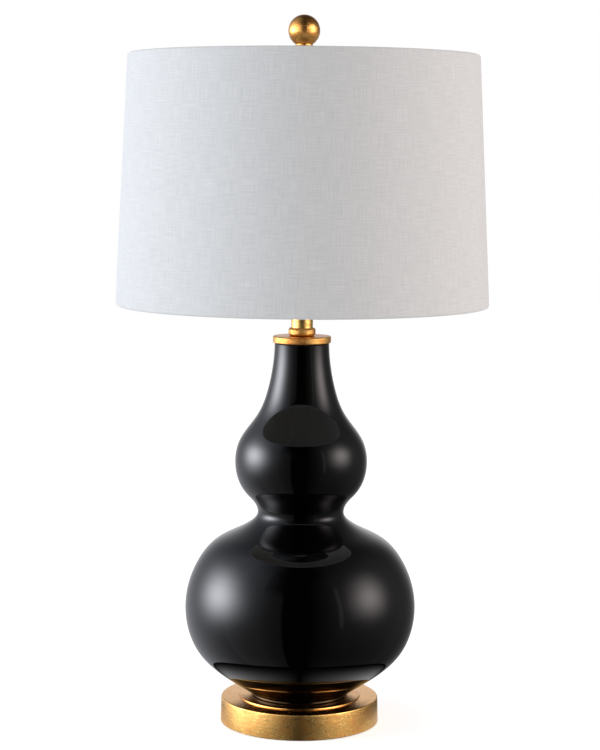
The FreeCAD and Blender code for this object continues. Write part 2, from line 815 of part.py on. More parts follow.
body_bottom = f"({saddle_top} + socket_body_lift)"
body_top = f"({body_bottom} + socket_body_height)"
flange_level = f"({body_top} - socket_flange_height)"
terminal_level = f"({body_bottom} + terminal_height)"
switch_level = f"({saddle_top} + switch_height)"
socket_body = turned("socket_body", [
    ("0", body_bottom),
    ("socket_body_radius", body_bottom),
    ("socket_body_radius", flange_level),
    ("socket_flange_radius", flange_level),
    ("socket_flange_radius", body_top),
    ("0", body_top),
])
terminal_hole = drill(socket_body, "terminal_hole", "YZ_Plane", ("0", terminal_level),
                      "terminal_screw_radius + fit_clearance", "socket_body_radius",
                      "terminal_reach + fit_clearance")
repeat_round(socket_body, "terminal_holes", [terminal_hole], "2")
drill(socket_body, "switch_bore", "XZ_Plane", ("0", switch_level),
      "switch_shaft_radius + fit_clearance", "socket_body_radius",
      "socket_body_radius - switch_shaft_start + fit_clearance")

terminals = start_body("terminal_screws")
terminal_sketch = sketch_on(terminals, "terminal_section", "XZ_Plane")
bind(terminal_sketch, {"AttachmentOffset.Base.y": terminal_level})
draw_outline(terminal_sketch, [
    ("socket_body_radius - terminal_reach", "0"),
    ("socket_body_radius + terminal_head_thickness", "0"),
    ("socket_body_radius + terminal_head_thickness", "terminal_head_radius"),
    ("socket_body_radius", "terminal_head_radius"),
    ("socket_body_radius", "terminal_screw_radius"),
    ("socket_body_radius - terminal_reach", "terminal_screw_radius"),
])
terminal = terminals.newObject("PartDesign::Revolution", "terminal_turning")
terminal.Profile = terminal_sketch
terminal.ReferenceAxis = (terminal_sketch, ["H_Axis"])
terminal.Angle = 360.0
document.recompute()
repeat_round(terminals, "terminals_round", [terminal], "2")

shell_radius = "(socket_radius - socket_wall - fit_clearance)"
shell_inside = f"({shell_radius} - socket_wall)"
socket_shell = turned("socket_shell", [
    (shell_inside, shell_bottom),
    (shell_radius, shell_bottom),
    (shell_radius, f"{shell_top} - socket_rim_roll"),
    (f"{shell_radius} + socket_rim_roll", f"{shell_top} - socket_rim_roll"),
    (f"{shell_radius} + socket_rim_roll", shell_top),
    (shell_inside, shell_top),
])
drill(socket_shell, "shell_switch_hole", "XZ_Plane", ("0", switch_level), "switch_hole_radius",
      "socket_radius", "socket_radius")
liner_radius = f"({shell_inside} - fit_clearance)"
liner_top = f"({shell_top} - socket_rim_roll)"
socket_liner = ring("socket_liner", f"{liner_radius} - liner_wall", liner_radius,
                    shell_bottom, liner_top)
drill(socket_liner, "liner_switch_hole", "XZ_Plane", ("0", switch_level), "switch_hole_radius",
      "socket_radius", "socket_radius")

screw_shell_top = f"({body_top} + screw_shell_height)"
screw_shell_inside = "(screw_shell_radius - screw_shell_wall)"
contact_top = f"({body_top} + contact_height)"
ring("screw_shell", screw_shell_inside, "screw_shell_radius", body_top, screw_shell_top)
disk("center_contact", "contact_radius", body_top, contact_top)


# Switch: a thin shaft and the turn knob on its end. Both are made upright and laid along -Y.

shaft = disk("switch_shaft", "switch_shaft_radius", "switch_shaft_start", "switch_shaft_end")
knob_bore = "(switch_shaft_radius + fit_clearance)"
knob_collar_end = "(knob_start + knob_collar_length)"
knob_end = "(knob_start + knob_length)"
knob = turned("switch_knob", [
    (knob_bore, "knob_start"),
    ("knob_waist_radius", "knob_start"),
    ("knob_waist_radius", knob_collar_end),
    ("knob_radius", knob_collar_end),
    ("knob_radius", knob_end),
    ("0", knob_end),
    ("0", "switch_shaft_end + fit_clearance"),
    (knob_bore, "switch_shaft_end + fit_clearance"),
])
round_edges(knob, "knob_edges", [("knob_radius", knob_collar_end), ("knob_radius", knob_end)],
            "knob_rounding")
for piece in (shaft, knob):
    place(piece, ("0", "0", switch_level), side_axis, 90)


# Bulb: tip contact, insulator, screw base with its rolled thread, collar and frosted globe.

tip_bottom = f"({contact_top} + bulb_gap)"
tip_top = f"({tip_bottom} + bulb_contact_height)"
insulator_top = f"({tip_top} + bulb_insulator_height)"
base_top = f"({insulator_top} + bulb_base_height)"
collar_top = f"({base_top} + bulb_collar_height)"
thread_radius = f"({screw_shell_inside} - running_clearance)"
root_radius = f"({thread_radius} - bulb_thread_depth)"
disk("bulb_tip_contact", "bulb_contact_radius", tip_bottom, tip_top)
turned("bulb_insulator", [
    ("0", tip_top),
    ("bulb_contact_radius", tip_top),
    (f"{root_radius} - bulb_insulator_margin", insulator_top),
    ("0", insulator_top),
])
thread_pitch = "(bulb_base_height / (2 * bulb_thread_count))"
thread = [("0", insulator_top), (root_radius, insulator_top)]
for turn in range(int(number("bulb_thread_count"))):
    low = f"({insulator_top} + {thread_pitch} * {2 * turn})"
    thread.append((thread_radius, f"{low} + {thread_pitch} / 2"))
    thread.append((root_radius, f"{low} + {thread_pitch}"))
thread += [(root_radius, base_top), ("0", base_top)]
turned("bulb_screw_base", thread)
turned("bulb_collar", [
    ("0", base_top),
    ("bulb_collar_radius", base_top),
    ("bulb_neck_radius", collar_top),
    ("0", collar_top),
])


def globe_outline(inset):
    """The globe's radius and neck, and where its straight cheek meets its arc."""
    radius = f"(bulb_radius - {inset})"
    neck = f"(bulb_neck_radius - {inset})"
    cheek_radius = f"({radius} * cos(bulb_cheek_angle))"
    cheek_drop = f"({radius} * sin(bulb_cheek_angle))"
    slant = f"(({cheek_radius} - {neck}) / tan(bulb_cheek_angle))"
    return radius, neck, cheek_radius, cheek_drop, slant


radius, neck, cheek_radius, cheek_drop, slant = globe_outline("0")
inside, inside_neck, inside_cheek, inside_drop, inside_slant = globe_outline("bulb_wall")
globe_centre = f"({collar_top} + {slant} + {cheek_drop})"
turned("bulb_globe", [
    (inside_neck, collar_top),
    (neck, collar_top),
    (cheek_radius, f"{globe_centre} - {cheek_drop}"),
    ("0", f"{globe_centre} + {radius}", radius),
    ("0", f"{globe_centre} + {inside}"),
    (inside_cheek, f"{globe_centre} - {inside_drop}", f"-{inside}"),
])


# Shade: cloth over a stiff backing, hung on two wire rings. The top ring, its three arms and
# the hub are welded into one frame.


def shade_radius(level):
    """The shade's outer radius at a level."""
    return f"(shade_top_radius + shade_flare * ({shade_top} - {level}) / shade_height)"


backing_inset = "(cloth_thickness + backing_thickness)"
for name, outer, inner in (("shade_cloth", "0", "cloth_thickness"),
                           ("shade_backing", "cloth_thickness", backing_inset)):
    turned(name, [
        (f"{shade_bottom_radius} - {inner}", shade_bottom),
        (f"{shade_bottom_radius} - {outer}", shade_bottom),
        (f"shade_top_radius - {outer}", shade_top),
        (f"shade_top_radius - {inner}", shade_top),
    ])

top_ring_level = f"({shade_top} - ring_inset - ring_wire_radius)"
bottom_ring_level = f"({shade_bottom} + ring_inset + ring_wire_radius)"
ring_depth = f"({backing_inset} + ring_wire_radius + ring_gap)"


def wire_ring(name, level):
    torus = document.addObject("Part::Torus", name)
    bind(torus, {"Radius1": f"{shade_radius(level)} - {ring_depth}",
                 "Radius2": "ring_wire_radius", "Placement.Base.z": level})
    return torus


wire_ring("shade_bottom_ring", bottom_ring_level)
top_ring_radius = f"({shade_radius(top_ring_level)} - {ring_depth})"
hub_middle = f"({hub_bottom} + hub_thickness / 2)"
arm_run = f"({top_ring_radius} - arm_start_radius)"
arm_climb = f"({top_ring_level} - {hub_middle})"
arm_length = f"sqrt({arm_run}^2 + {arm_climb}^2)"
hub = upright_ring("shade_hub", "stud_radius + running_clearance", "hub_radius", "hub_thickness")
bind(hub, {"Placement.Base.z": hub_bottom})
frame_pieces = [wire_ring("shade_top_ring", top_ring_level), hub]
arm_count = int(number("arm_count"))
for place_number in range(arm_count):
    turn = math.radians(90 + 360 * place_number / arm_count)
    arm = document.addObject("Part::Cylinder", f"shade_arm_{place_number + 1}")
    bind(arm, {"Radius": "arm_wire_radius", "Height": arm_length})
    lean_axis = FreeCAD.Vector(-math.sin(turn), math.cos(turn), 0)
    place(arm, (f"arm_start_radius * {math.cos(turn):.9f}",
                f"arm_start_radius * {math.sin(turn):.9f}", hub_middle), lean_axis, 90)
    arm.setExpression("Placement.Rotation.Angle", bound(f"acos({arm_climb} / {arm_length})"))
    frame_pieces.append(arm)
shade_frame = document.addObject("Part::MultiFuse", "shade_frame")
shade_frame.Shapes = frame_pieces


# Finial: a turned base that screws onto the stud, and the ball pinned on its collar.

collar_bottom = f"({finial_top} - finial_collar_height)"
finial_bore = "(stud_radius + running_clearance)"
pin_top = f"({finial_top} + finial_pin_height)"
stud_room = f"({stud_top} + running_clearance)"
turned("finial_base", [
    (finial_bore, hub_top),
    ("finial_seat_radius", hub_top),
    ("finial_seat_radius", f"{hub_top} + finial_seat_height"),
    ("finial_stem_radius", f"{hub_top} + finial_seat_height"),
    ("finial_stem_radius", collar_bottom),
    ("finial_collar_radius", collar_bottom),
    ("finial_collar_radius", finial_top),
    ("finial_pin_radius", finial_top),
    ("finial_pin_radius", pin_top),
    ("0", pin_top),
    ("0", stud_room),
    (finial_bore, stud_room),
])
ball_centre = f"({finial_top} + sqrt(finial_ball_radius^2 - finial_collar_radius^2))"
ball_bore = "(finial_pin_radius + fit_clearance)"
turned("finial_ball", [
    (ball_bore, finial_top),
    ("finial_collar_radius", finial_top),
    ("0", f"{ball_centre} + finial_ball_radius", "finial_ball_radius"),
    ("0", f"{pin_top} + fit_clearance"),
    (ball_bore, f"{pin_top} + fit_clearance"),
])


# Write each sub-part, once every object is sound.

document.recompute()
piece_names = [
    "base_felt", "base_plinth", "base_weight", "weight_screws", "cord_bushing",
    "bottom_washer", "lock_washer", "bottom_nut", "lamp_pipe",
    "foot_gasket", "gourd_body", "neck_gasket", "vase_cap", "neck_bead", "neck_tube", "check_ring",
    "harp_saddle", "harp_bow", "harp_sleeve_left", "harp_sleeve_right", "harp_stud",
    "socket_cap", "socket_set_screw", "socket_body", "terminal_screws", "socket_shell",
    "socket_liner", "screw_shell", "center_contact", "switch_shaft", "switch_knob",
    "bulb_tip_contact", "bulb_insulator", "bulb_screw_base", "bulb_collar", "bulb_globe",
    "shade_cloth", "shade_backing", "shade_frame", "shade_bottom_ring",
    "finial_base", "finial_ball",
]
for item in document.Objects:
    if "Invalid" in item.State or "Error" in item.State:
        raise RuntimeError(f"{item.Label} could not be built: {item.State}")
os.makedirs("parts", exist_ok=True)
for name in piece_names:
    piece = document.getObject(name)
    shape = piece.Shape
    if shape.isNull() or not shape.isValid() or not shape.Solids:
        raise RuntimeError(f"{name} is not a valid solid")
    shape.exportStep(f"parts/{name}.step")
    box = shape.BoundBox
    print(f"{name}: {len(shape.Solids)} solid, {shape.Volume / 1000:.2f} cm3,"
          f" z {box.ZMin:.1f} to {box.ZMax:.1f}")
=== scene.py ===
import json
import math

import bmesh
import bpy
from mathutils import Matrix, Vector

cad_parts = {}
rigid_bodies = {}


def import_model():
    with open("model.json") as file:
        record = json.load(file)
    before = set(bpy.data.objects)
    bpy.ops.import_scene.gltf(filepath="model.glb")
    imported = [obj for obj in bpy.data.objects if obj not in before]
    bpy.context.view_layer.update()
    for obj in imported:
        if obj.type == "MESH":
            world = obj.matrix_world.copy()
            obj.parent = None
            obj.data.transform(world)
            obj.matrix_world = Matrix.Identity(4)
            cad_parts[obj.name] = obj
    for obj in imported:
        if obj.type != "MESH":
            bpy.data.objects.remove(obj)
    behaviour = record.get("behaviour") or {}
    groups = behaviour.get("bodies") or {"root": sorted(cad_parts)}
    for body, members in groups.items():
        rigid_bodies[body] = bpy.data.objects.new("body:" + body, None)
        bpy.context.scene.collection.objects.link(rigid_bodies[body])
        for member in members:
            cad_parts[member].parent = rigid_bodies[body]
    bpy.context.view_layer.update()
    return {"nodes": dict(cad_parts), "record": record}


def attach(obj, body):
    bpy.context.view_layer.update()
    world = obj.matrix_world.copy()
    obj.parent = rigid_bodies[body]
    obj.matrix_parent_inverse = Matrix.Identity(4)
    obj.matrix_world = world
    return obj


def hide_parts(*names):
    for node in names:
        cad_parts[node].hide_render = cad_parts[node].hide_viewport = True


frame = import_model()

# Double gourd table lamp: black glaze, gold leaf base, gold neck, white drum shade.
# Lengths in the dictionaries are millimetres, the studio's metres, and angles degrees. All are
# measured from the lamp's own axis and the table that it stands on.

scene = bpy.context.scene
scene.view_settings.view_transform = "Standard"
mm = 0.001
fullTurn = 2 * math.pi
degree = math.pi / 180
crease = 32 * degree  # edges that turn by more stay sharp
rimTurn = 50 * degree  # edges of a plate that turn by more are bevelled
weld = 0.002  # points that lie closer together are merged
facets = dict(wide=256, large=192, small=128, slim=96, tiny=64)  # steps round a turned piece

# Camera: the photograph's viewing angle, a little above the globes' middle.
view = dict(lens=100.0, sensor=36.0, distance=2126.3, height=589.4, pitch=6.1, roll=0.42,
            yaw=0.048, near=0.05, far=40.0)

cameraData = bpy.data.cameras.new("photographCamera")
cameraData.lens = view["lens"]
cameraData.sensor_width = view["sensor"]
cameraData.clip_start = view["near"]
cameraData.clip_end = view["far"]
camera = bpy.data.objects.new("photographCamera", cameraData)
scene.collection.objects.link(camera)
aim = (Matrix.Rotation(view["yaw"] * degree, 4, "Z")
       @ Matrix.Rotation((90 - view["pitch"]) * degree, 4, "X")
       @ Matrix.Rotation(view["roll"] * degree, 4, "Z"))
camera.matrix_world = Matrix.Translation((0, -view["distance"] * mm, view["height"] * mm)) @ aim
scene.camera = camera
print("camera placed")


class Signal:
    # one output socket; Python's operators on it add Math nodes
    def __init__(self, graph, socket):
        self.graph = graph
        self.socket = socket

    def math(self, operation, *others):
        return self.graph.math(operation, self, *others)

    def __add__(self, other):
        return self.math("ADD", other)

    def __sub__(self, other):
        return self.math("SUBTRACT", other)

    def __rsub__(self, other):
        return self.graph.math("SUBTRACT", other, self)

    def __mul__(self, other):
        return self.math("MULTIPLY", other)

    def __truediv__(self, other):
        return self.math("DIVIDE", other)

    def __rtruediv__(self, other):
        return self.graph.math("DIVIDE", other, self)

    def __pow__(self, other):
        return self.math("POWER", other)

    def __neg__(self):
        return self.math("MULTIPLY", -1.0)

    __radd__ = __add__
    __rmul__ = __mul__

    def most(self, other):
        return self.math("MAXIMUM", other)

    def size(self):
        return self.math("ABSOLUTE")

    def side(self):
        return self.math("SIGN")

    def sine(self):
        return self.math("SINE")

    def cosine(self):
        return self.math("COSINE")

    def exponent(self):
        return self.math("EXPONENT")

    def parts(self):
        # the three numbers of a vector
        made = self.graph.node("ShaderNodeSeparateXYZ", None, {0: self})
        return [Signal(self.graph, socket) for socket in made.socket.node.outputs]


class Graph:
    # a node tree, and one method that adds any node to it
    def __init__(self, tree):
        self.tree = tree

    def node(self, kind, settings=None, values=None, output=0):
        made = self.tree.nodes.new(kind)
        for key, value in (settings or {}).items():
            setattr(made, key, value)
        for key, value in (values or {}).items():
            self.feed(made.inputs[key], value)
        return Signal(self, made.outputs[output])

    def feed(self, socket, value):
        if isinstance(value, Signal):
            self.tree.links.new(value.socket, socket)
        else:
            socket.default_value = value

    def math(self, operation, *values):
        return self.node("ShaderNodeMath", {"operation": operation}, dict(enumerate(values)))

    def vector(self, x, y, z):
        return self.node("ShaderNodeCombineXYZ", None, {0: x, 1: y, 2: z})

    def scaled(self, vector, amount):
        return self.node("ShaderNodeVectorMath", {"operation": "SCALE"},
                         {0: vector, "Scale": amount})

    def together(self, first, second):
        return self.node("ShaderNodeVectorMath", {"operation": "ADD"}, {0: first, 1: second})


class Finish(Graph):
    # a material with one Principled shader
    def __init__(self, name, color, roughness, **plain):
        self.material = bpy.data.materials.new(name)
        self.material.use_nodes = True
        super().__init__(self.material.node_tree)
        self.shader = self.tree.nodes["Principled BSDF"]
        self.set("Base Color", (*color, 1.0))
        self.set("Roughness", roughness)
        for key, value in plain.items():
            self.set(key.replace("_", " "), value)

    def set(self, name, value):
        self.feed(self.shader.inputs[name], value)

    def place(self, scale=(1.0, 1.0, 1.0), uv=False):
        here = self.node("ShaderNodeTexCoord", output="UV" if uv else "Object")
        return self.node("ShaderNodeMapping", None, {"Vector": here, "Scale": scale})

    def noise(self, place, scale, detail=2.0, roughness=0.5):
        return self.node("ShaderNodeTexNoise", None, {
            "Vector": place, "Scale": scale, "Detail": detail, "Roughness": roughness})

    def ramp(self, value, low, high, bottom=0.0, top=1.0):
        return self.node("ShaderNodeMapRange", {"interpolation_type": "SMOOTHSTEP"}, {
            "Value": value, "From Min": low, "From Max": high, "To Min": bottom, "To Max": top})

    def blend(self, factor, first, second):
        colors = [color if isinstance(color, Signal) else (*color, 1.0)
                  for color in (first, second)]
        return self.node("ShaderNodeMix", {"data_type": "RGBA"},
                         {0: factor, 6: colors[0], 7: colors[1]}, output=2)

    def bump(self, height, distance, strength=1.0):
        self.set("Normal", self.node("ShaderNodeBump", None, {
            "Height": height, "Distance": distance * mm, "Strength": strength}))


glaze = dict(index=1.5, dark=(0.0006, 0.0006, 0.0006), brown=(0.0014, 0.0010, 0.0008), pool=14.0,
             thick=(0.35, 0.7), roughness=0.03, unevenness=0.04, patch=9.0, ripple=42.0,
             pinhole=420.0, pinholes=0.12, relief=0.05, strength=0.25)


def blackGlaze():
    # deep black glaze, slightly uneven, with a brown breath where it thins
    made = Finish("blackGlaze", glaze["dark"], glaze["roughness"], IOR=glaze["index"])
    spot = made.place()
    pool = made.noise(spot, glaze["pool"], 3.0)
    made.set("Base Color", made.blend(made.ramp(pool, *glaze["thick"]), glaze["dark"],
                                      glaze["brown"]))
    made.set("Roughness", glaze["roughness"]
             + glaze["unevenness"] * made.noise(spot, glaze["patch"], 4.0))
    made.bump(made.noise(spot, glaze["ripple"]) + glaze["pinholes"]
              * made.noise(spot, glaze["pinhole"]), glaze["relief"], glaze["strength"])
    return made


leaf = dict(cloud=55.0, streak=(60.0, 60.0, 900.0), foil=(900.0, 900.0, 1400.0),
            grain=(480.0, 480.0, 300.0), grainDepth=1.4, fleck=600.0, thin=(0.72, 1.12),
            worn=(0.80, 0.98), clay=(0.34, 0.11, 0.035), fadeIn=(0.5, 0.05), fadeOut=0.3,
            levelPaintedReflection=0.7, levelGloss=0.35, levelCalm=0.7)


def goldLeaf(name, bright, warm, roughness, facet, speck, flat=None):
    # leaf over red clay: crumpled facets, streaks round the lathe, flecks and redder thin places
    # flat is the band of heights where the surface is level: smoother and calmer there, and given
    # the warmer, redder leaf colour as a painted dark reflection on the tops
    made = Finish(name, bright, roughness, Metallic=1.0)
    spot = made.place()
    cloud = made.noise(spot, leaf["cloud"], 4.0, 0.65)
    streak = made.noise(made.place(leaf["streak"]), 1.0, 3.0, 0.65)
    foil = made.noise(made.place(leaf["foil"]), 1.0)
    grain = made.noise(made.place(leaf["grain"]), 1.0, 4.0, 0.75)
    fleck = made.noise(spot, leaf["fleck"], 3.0, 0.75)
    thin = made.ramp(cloud + 0.8 * streak, *leaf["thin"])
    worn = made.ramp(fleck + 0.5 * cloud, *leaf["worn"]) * speck
    rough = roughness * (0.8 + 0.3 * thin + 0.3 * streak) + 0.12 * worn
    relief = facet * foil + leaf["grainDepth"] * facet * grain
    if flat:
        low, high = flat
        level = spot.parts()[2]
        level = (made.ramp(level, *((low - before) * mm for before in leaf["fadeIn"]))
                 * made.ramp(level, high * mm, (high + leaf["fadeOut"]) * mm, 1.0, 0.0))
        # painted reflection: the level tops take the warmer, darker leaf colour for the dark things
        # they reflect
        thin = thin.most(leaf["levelPaintedReflection"] * level)
        rough = rough * (1 - leaf["levelGloss"] * level)
        relief = relief * (1 - leaf["levelCalm"] * level)
    made.set("Base Color", made.blend(worn, made.blend(thin, bright, warm), leaf["clay"]))
    made.set("Roughness", rough)
    made.bump(relief, 1.0)
    return made


linen = dict(thread=0.62, wander=2.2, waver=(30, 900), slub=(45, 1300), thick=(0.7, 1.35),
             dark=(0.76, 0.765, 0.77), light=(0.90, 0.90, 0.90), weave=0.25, relief=0.14,
             strength=0.4, roughness=0.9, sheen=0.12)


def whiteLinen():
    # fine plain weave: two sets of uneven threads in the cloth's own coordinates
    made = Finish("whiteLinen", linen["light"], linen["roughness"], Sheen_Weight=linen["sheen"],
                  Sheen_Roughness=0.5)

    def drawn(scale, *more):
        # noise drawn out along the cloth, and up it
        return [made.noise(made.place((*pair, 1), uv=True), 1.0, *more)
                for pair in (scale, scale[::-1])]

    across, up, flat = made.place(uv=True).parts()
    pitch = fullTurn / (linen["thread"] * mm)
    weft, warp = [(run * pitch + linen["wander"] * waver).sine()
                  for run, waver in zip((up, across), drawn(linen["waver"]))]
    along, above = drawn(linen["slub"], 3.0, 0.6)
    slub = along + above
    made.set("Base Color", made.blend(made.ramp(slub, *linen["thick"]), linen["dark"],
                                      linen["light"]))
    made.bump(linen["weave"] * weft * warp + slub, linen["relief"], linen["strength"])
    return made


def plain(name, color, roughness, grain=0.0, scale=300.0, shade=0.85, **more):
    # a finish with a fine mottle in its colour and a fine grain in its relief
    made = Finish(name, color, roughness, **more)
    spot = made.place()
    mottle = made.noise(spot, scale * 0.2, 4.0, 0.6)
    fine = made.noise(spot, scale, 3.0, 0.6)
    dark = tuple(part * shade for part in color)
    made.set("Base Color", made.blend(made.ramp(mottle, 0.3, 0.7), color, dark))
    made.set("Roughness", roughness * (0.85 + 0.3 * fine))
    if grain:
        made.bump(fine, grain, 0.6)
    return made


nap = dict(fibre=(260.0, 1900.0), height=900.0, ends=(0.8, 1.3), dark=(0.011, 0.011, 0.012),
           light=(0.036, 0.036, 0.038), roughness=0.95, sheen=0.4, relief=0.35, strength=0.7)


def felt():
    # short matted fibres with lighter ends
    made = Finish("blackFelt", nap["dark"], nap["roughness"], Sheen_Weight=nap["sheen"])
    first, second = [made.noise(made.place((*pair, nap["height"])), 1.0, 3.0, 0.7)
                     for pair in (nap["fibre"], nap["fibre"][::-1])]
    fibres = first + second
    made.set("Base Color", made.blend(made.ramp(fibres, *nap["ends"]), nap["dark"],
                                      nap["light"]))
    made.bump(fibres, nap["relief"], nap["strength"])
    return made


# leaf: its colour, the warmer colour where it is thin, its roughness, the depth of its facets and
# the share of its flecks; plain: its colour, its roughness, the depth and scale of its grain, and
# how dark its mottle is
steel = dict(Metallic=1.0)
# the flat bands are the level tops of the plinth, its step and the cap, which are smoother and
# carry a painted dark reflection in their colour
finishes = {
    "black_glaze": blackGlaze(),
    "gold_leaf_wood": goldLeaf("leafOnWood", (0.95, 0.58, 0.18), (0.84, 0.40, 0.11), 0.28, 0.20,
                               0.6, flat=(27.0, 29.0)),
    "gold_leaf_brass": goldLeaf("leafOnBrass", (0.95, 0.57, 0.17), (0.82, 0.34, 0.08), 0.34, 0.26,
                                0.8, flat=(402.6, 402.7)),
    "finial_leaf": goldLeaf("leafOnFinial", (0.92, 0.52, 0.15), (0.78, 0.33, 0.08), 0.25, 0.15,
                            0.8),
    "polished_brass": goldLeaf("satinBrass", (0.95, 0.64, 0.22), (0.88, 0.50, 0.13), 0.28, 0.08,
                               0.15),
    "white_linen": whiteLinen(),
    "black_felt": felt(),
    "cast_iron": plain("castIron", (0.09, 0.09, 0.095), 0.65, 0.3, 500.0, 0.7, Metallic=0.8),
    "zinc_steel": plain("zincSteel", (0.62, 0.62, 0.60), 0.34, 0.03, 600.0, **steel),
    "black_rubber": plain("blackRubber", (0.012, 0.012, 0.012), 0.7, 0.05, 900.0, 0.7),
    "black_bushing": plain("blackBushing", (0.014, 0.014, 0.015), 0.42, 0.03, 900.0),
    "plated_steel": plain("platedSteel", (0.80, 0.60, 0.33), 0.26, 0.02, 500.0, 0.9, **steel),
    "socket_brass": plain("socketBrass", (0.86, 0.62, 0.32), 0.3, 0.02, 500.0, **steel),
    "socket_phenolic": plain("socketPhenolic", (0.03, 0.022, 0.018), 0.4, 0.03, 700.0, 0.7),
    "liner_card": plain("linerCard", (0.33, 0.23, 0.14), 0.9, 0.1, 900.0, 0.8),
    "contact_brass": plain("contactBrass", (0.83, 0.6, 0.3), 0.35, 0.02, 700.0, **steel),
    "shell_aluminium": plain("shellAluminium", (0.82, 0.82, 0.82), 0.32, 0.02, 700.0, **steel),
    "knob_plastic": plain("knobPlastic", (0.012, 0.012, 0.012), 0.36, 0.02, 900.0),
    "frosted_glass": plain("frostedGlass", (0.84, 0.84, 0.83), 0.42, 0.01, 900.0, 0.97),
    "bulb_plastic": plain("bulbPlastic", (0.80, 0.80, 0.79), 0.38, 0.01, 900.0, 0.95),
    "bulb_insulator": plain("bulbInsulator", (0.05, 0.045, 0.04), 0.4, 0.01, 900.0, 0.8),
    "shade_styrene": plain("shadeStyrene", (0.80, 0.80, 0.78), 0.5, 0.02, 600.0, 0.96),
    "white_wire": plain("whiteWire", (0.78, 0.78, 0.77), 0.35, 0.04, 500.0, 0.93),
}
print("finishes made:", len(finishes))

slotOf = {part["node"]: part["material_slot"] for part in frame["record"]["subparts"]}
bodyOf = {node: body for body, nodes in frame["record"]["behaviour"]["bodies"].items()
          for node in nodes}
for nodeName, node in frame["nodes"].items():
    node.data.materials.clear()
    node.data.materials.append(finishes[slotOf[nodeName]].material)


def entries(tree, wanted):
    # the named inputs of a geometry tree, as signals, after its first one, the geometry
    tree.interface.new_socket("Geometry", in_out="INPUT", socket_type="NodeSocketGeometry")
    tree.interface.new_socket("Geometry", in_out="OUTPUT", socket_type="NodeSocketGeometry")
    for name, kind in wanted.items():
        tree.interface.new_socket(name, in_out="INPUT", socket_type="NodeSocket" + kind)
    graph = Graph(tree)
    entry = tree.nodes.new("NodeGroupInput")
    return graph, [Signal(graph, entry.outputs[name]) for name in ("Geometry", *wanted)]


def sampler(graph, outline, index):
    # a function that reads an attribute of the outline at each point's own place along it
    def sample(name, kind):
        if name == "position":
            value = graph.node("GeometryNodeInputPosition")
        else:
            value = graph.node("GeometryNodeInputNamedAttribute", {"data_type": kind},
                               {"Name": name})
        return graph.node("GeometryNodeSampleIndex", {"data_type": kind},
                          {"Geometry": outline, "Value": value, "Index": index})
    return sample


def sheetOfPoints(graph, outline, steps):
    # a grid with a column for each step and a row for each point of the outline
    count = graph.node("GeometryNodeAttributeDomainSize", None, {"Geometry": outline})
    grid = graph.node("GeometryNodeMeshGrid", None, {
        "Size X": 1.0, "Size Y": 1.0, "Vertices X": steps + 1, "Vertices Y": count})
    across, up, flat = graph.node("GeometryNodeInputPosition").parts()
    index = ((up + 0.5) * (count - 1)).math("ROUND")
    return grid, across + 0.5, sampler(graph, outline, index)


def closing(graph, shape, place, finish):
    # points moved to their places, doubles merged, shaded smooth, with the material set
    moved = graph.node("GeometryNodeSetPosition", None, {"Geometry": shape, "Position": place})
    merged = graph.node("GeometryNodeMergeByDistance", None,
                        {"Geometry": moved, "Distance": weld * mm})
    smooth = graph.node("GeometryNodeSetShadeSmooth", None, {"Geometry": merged})
    real = graph.node("GeometryNodeRealizeInstances", None, {"Geometry": smooth})
    colored = graph.node("GeometryNodeSetMaterial", None, {"Geometry": real, "Material": finish})
    leave = graph.tree.nodes.new("NodeGroupOutput")
    graph.tree.links.new(colored.socket, leave.inputs["Geometry"])


def turningTree():
    # an outline swept round the lamp's axis, with ribs where the outline says so
    tree = bpy.data.node_groups.new("turning", "GeometryNodeTree")
    graph, (outline, steps, girth, start, ribs, ribDepth, finish) = entries(tree, {
        "Steps": "Int", "Girth": "Float", "Start": "Float", "Ribs": "Int", "Rib depth": "Float",
        "Finish": "Material"})
    grid, around, sample = sheetOfPoints(graph, outline, steps)
    x, y, height = sample("position", "FLOAT_VECTOR").parts()
    angle = around * fullTurn + start
    groove = (angle * ribs).cosine() * 0.5 + 0.5
    radius = x - ribDepth * groove * sample("ribbed", "FLOAT")
    corner = Signal(graph, grid.socket.node.outputs["UV Map"]).parts()[0]
    cloth = graph.vector(corner * girth, sample("along", "FLOAT"), 0.0)
    mapped = graph.node("GeometryNodeStoreNamedAttribute", {
        "data_type": "FLOAT2", "domain": "CORNER"},
        {"Geometry": grid, "Name": "UVMap", "Value": cloth})
    closing(graph, mapped, graph.vector(radius * angle.sine(), -(radius * angle.cosine()),
                                        height), finish)
    return tree


def wireTree():
    # a section swept along a path; side and cross are its half sizes as vectors,
    # and square says how far its corners fill out: 1 is round, and less is squarer
    tree = bpy.data.node_groups.new("wire", "GeometryNodeTree")
    graph, (path, steps, finish) = entries(tree, {"Steps": "Int", "Finish": "Material"})
    grid, around, sample = sheetOfPoints(graph, path, steps)
    square = sample("square", "FLOAT")
    place = sample("position", "FLOAT_VECTOR")
    for name, wave in (("side", (around * fullTurn).cosine()),
                       ("cross", (around * fullTurn).sine())):
        reach = wave.side() * (wave.size() ** square)
        place = graph.together(place, graph.scaled(sample(name, "FLOAT_VECTOR"), reach))
    closing(graph, grid, place, finish)
    return tree


turning = turningTree()
bending = wireTree()


def grown(name, tree, settings, seed):
    # the tree's result as a plain mesh, with its one material
    holder = bpy.data.objects.new(name, seed)
    scene.collection.objects.link(holder)
    modifier = holder.modifiers.new("shape", "NODES")
    modifier.node_group = tree
    for item in tree.interface.items_tree:
        if item.in_out == "INPUT" and item.name in settings:
            modifier[item.identifier] = settings[item.name]
    settled(holder)
    holder.data.materials.clear()
    holder.data.materials.append(settings["Finish"])
    return holder


def settled(holder):
    # live modifiers turned into the plain mesh, with edges sharp past the crease angle
    graph = bpy.context.evaluated_depsgraph_get()
    mesh = bpy.data.meshes.new_from_object(holder.evaluated_get(graph))
    holder.modifiers.clear()
    holder.data = mesh
    mesh.name = holder.name
    mesh.set_sharp_from_angle(angle=crease)
    return holder


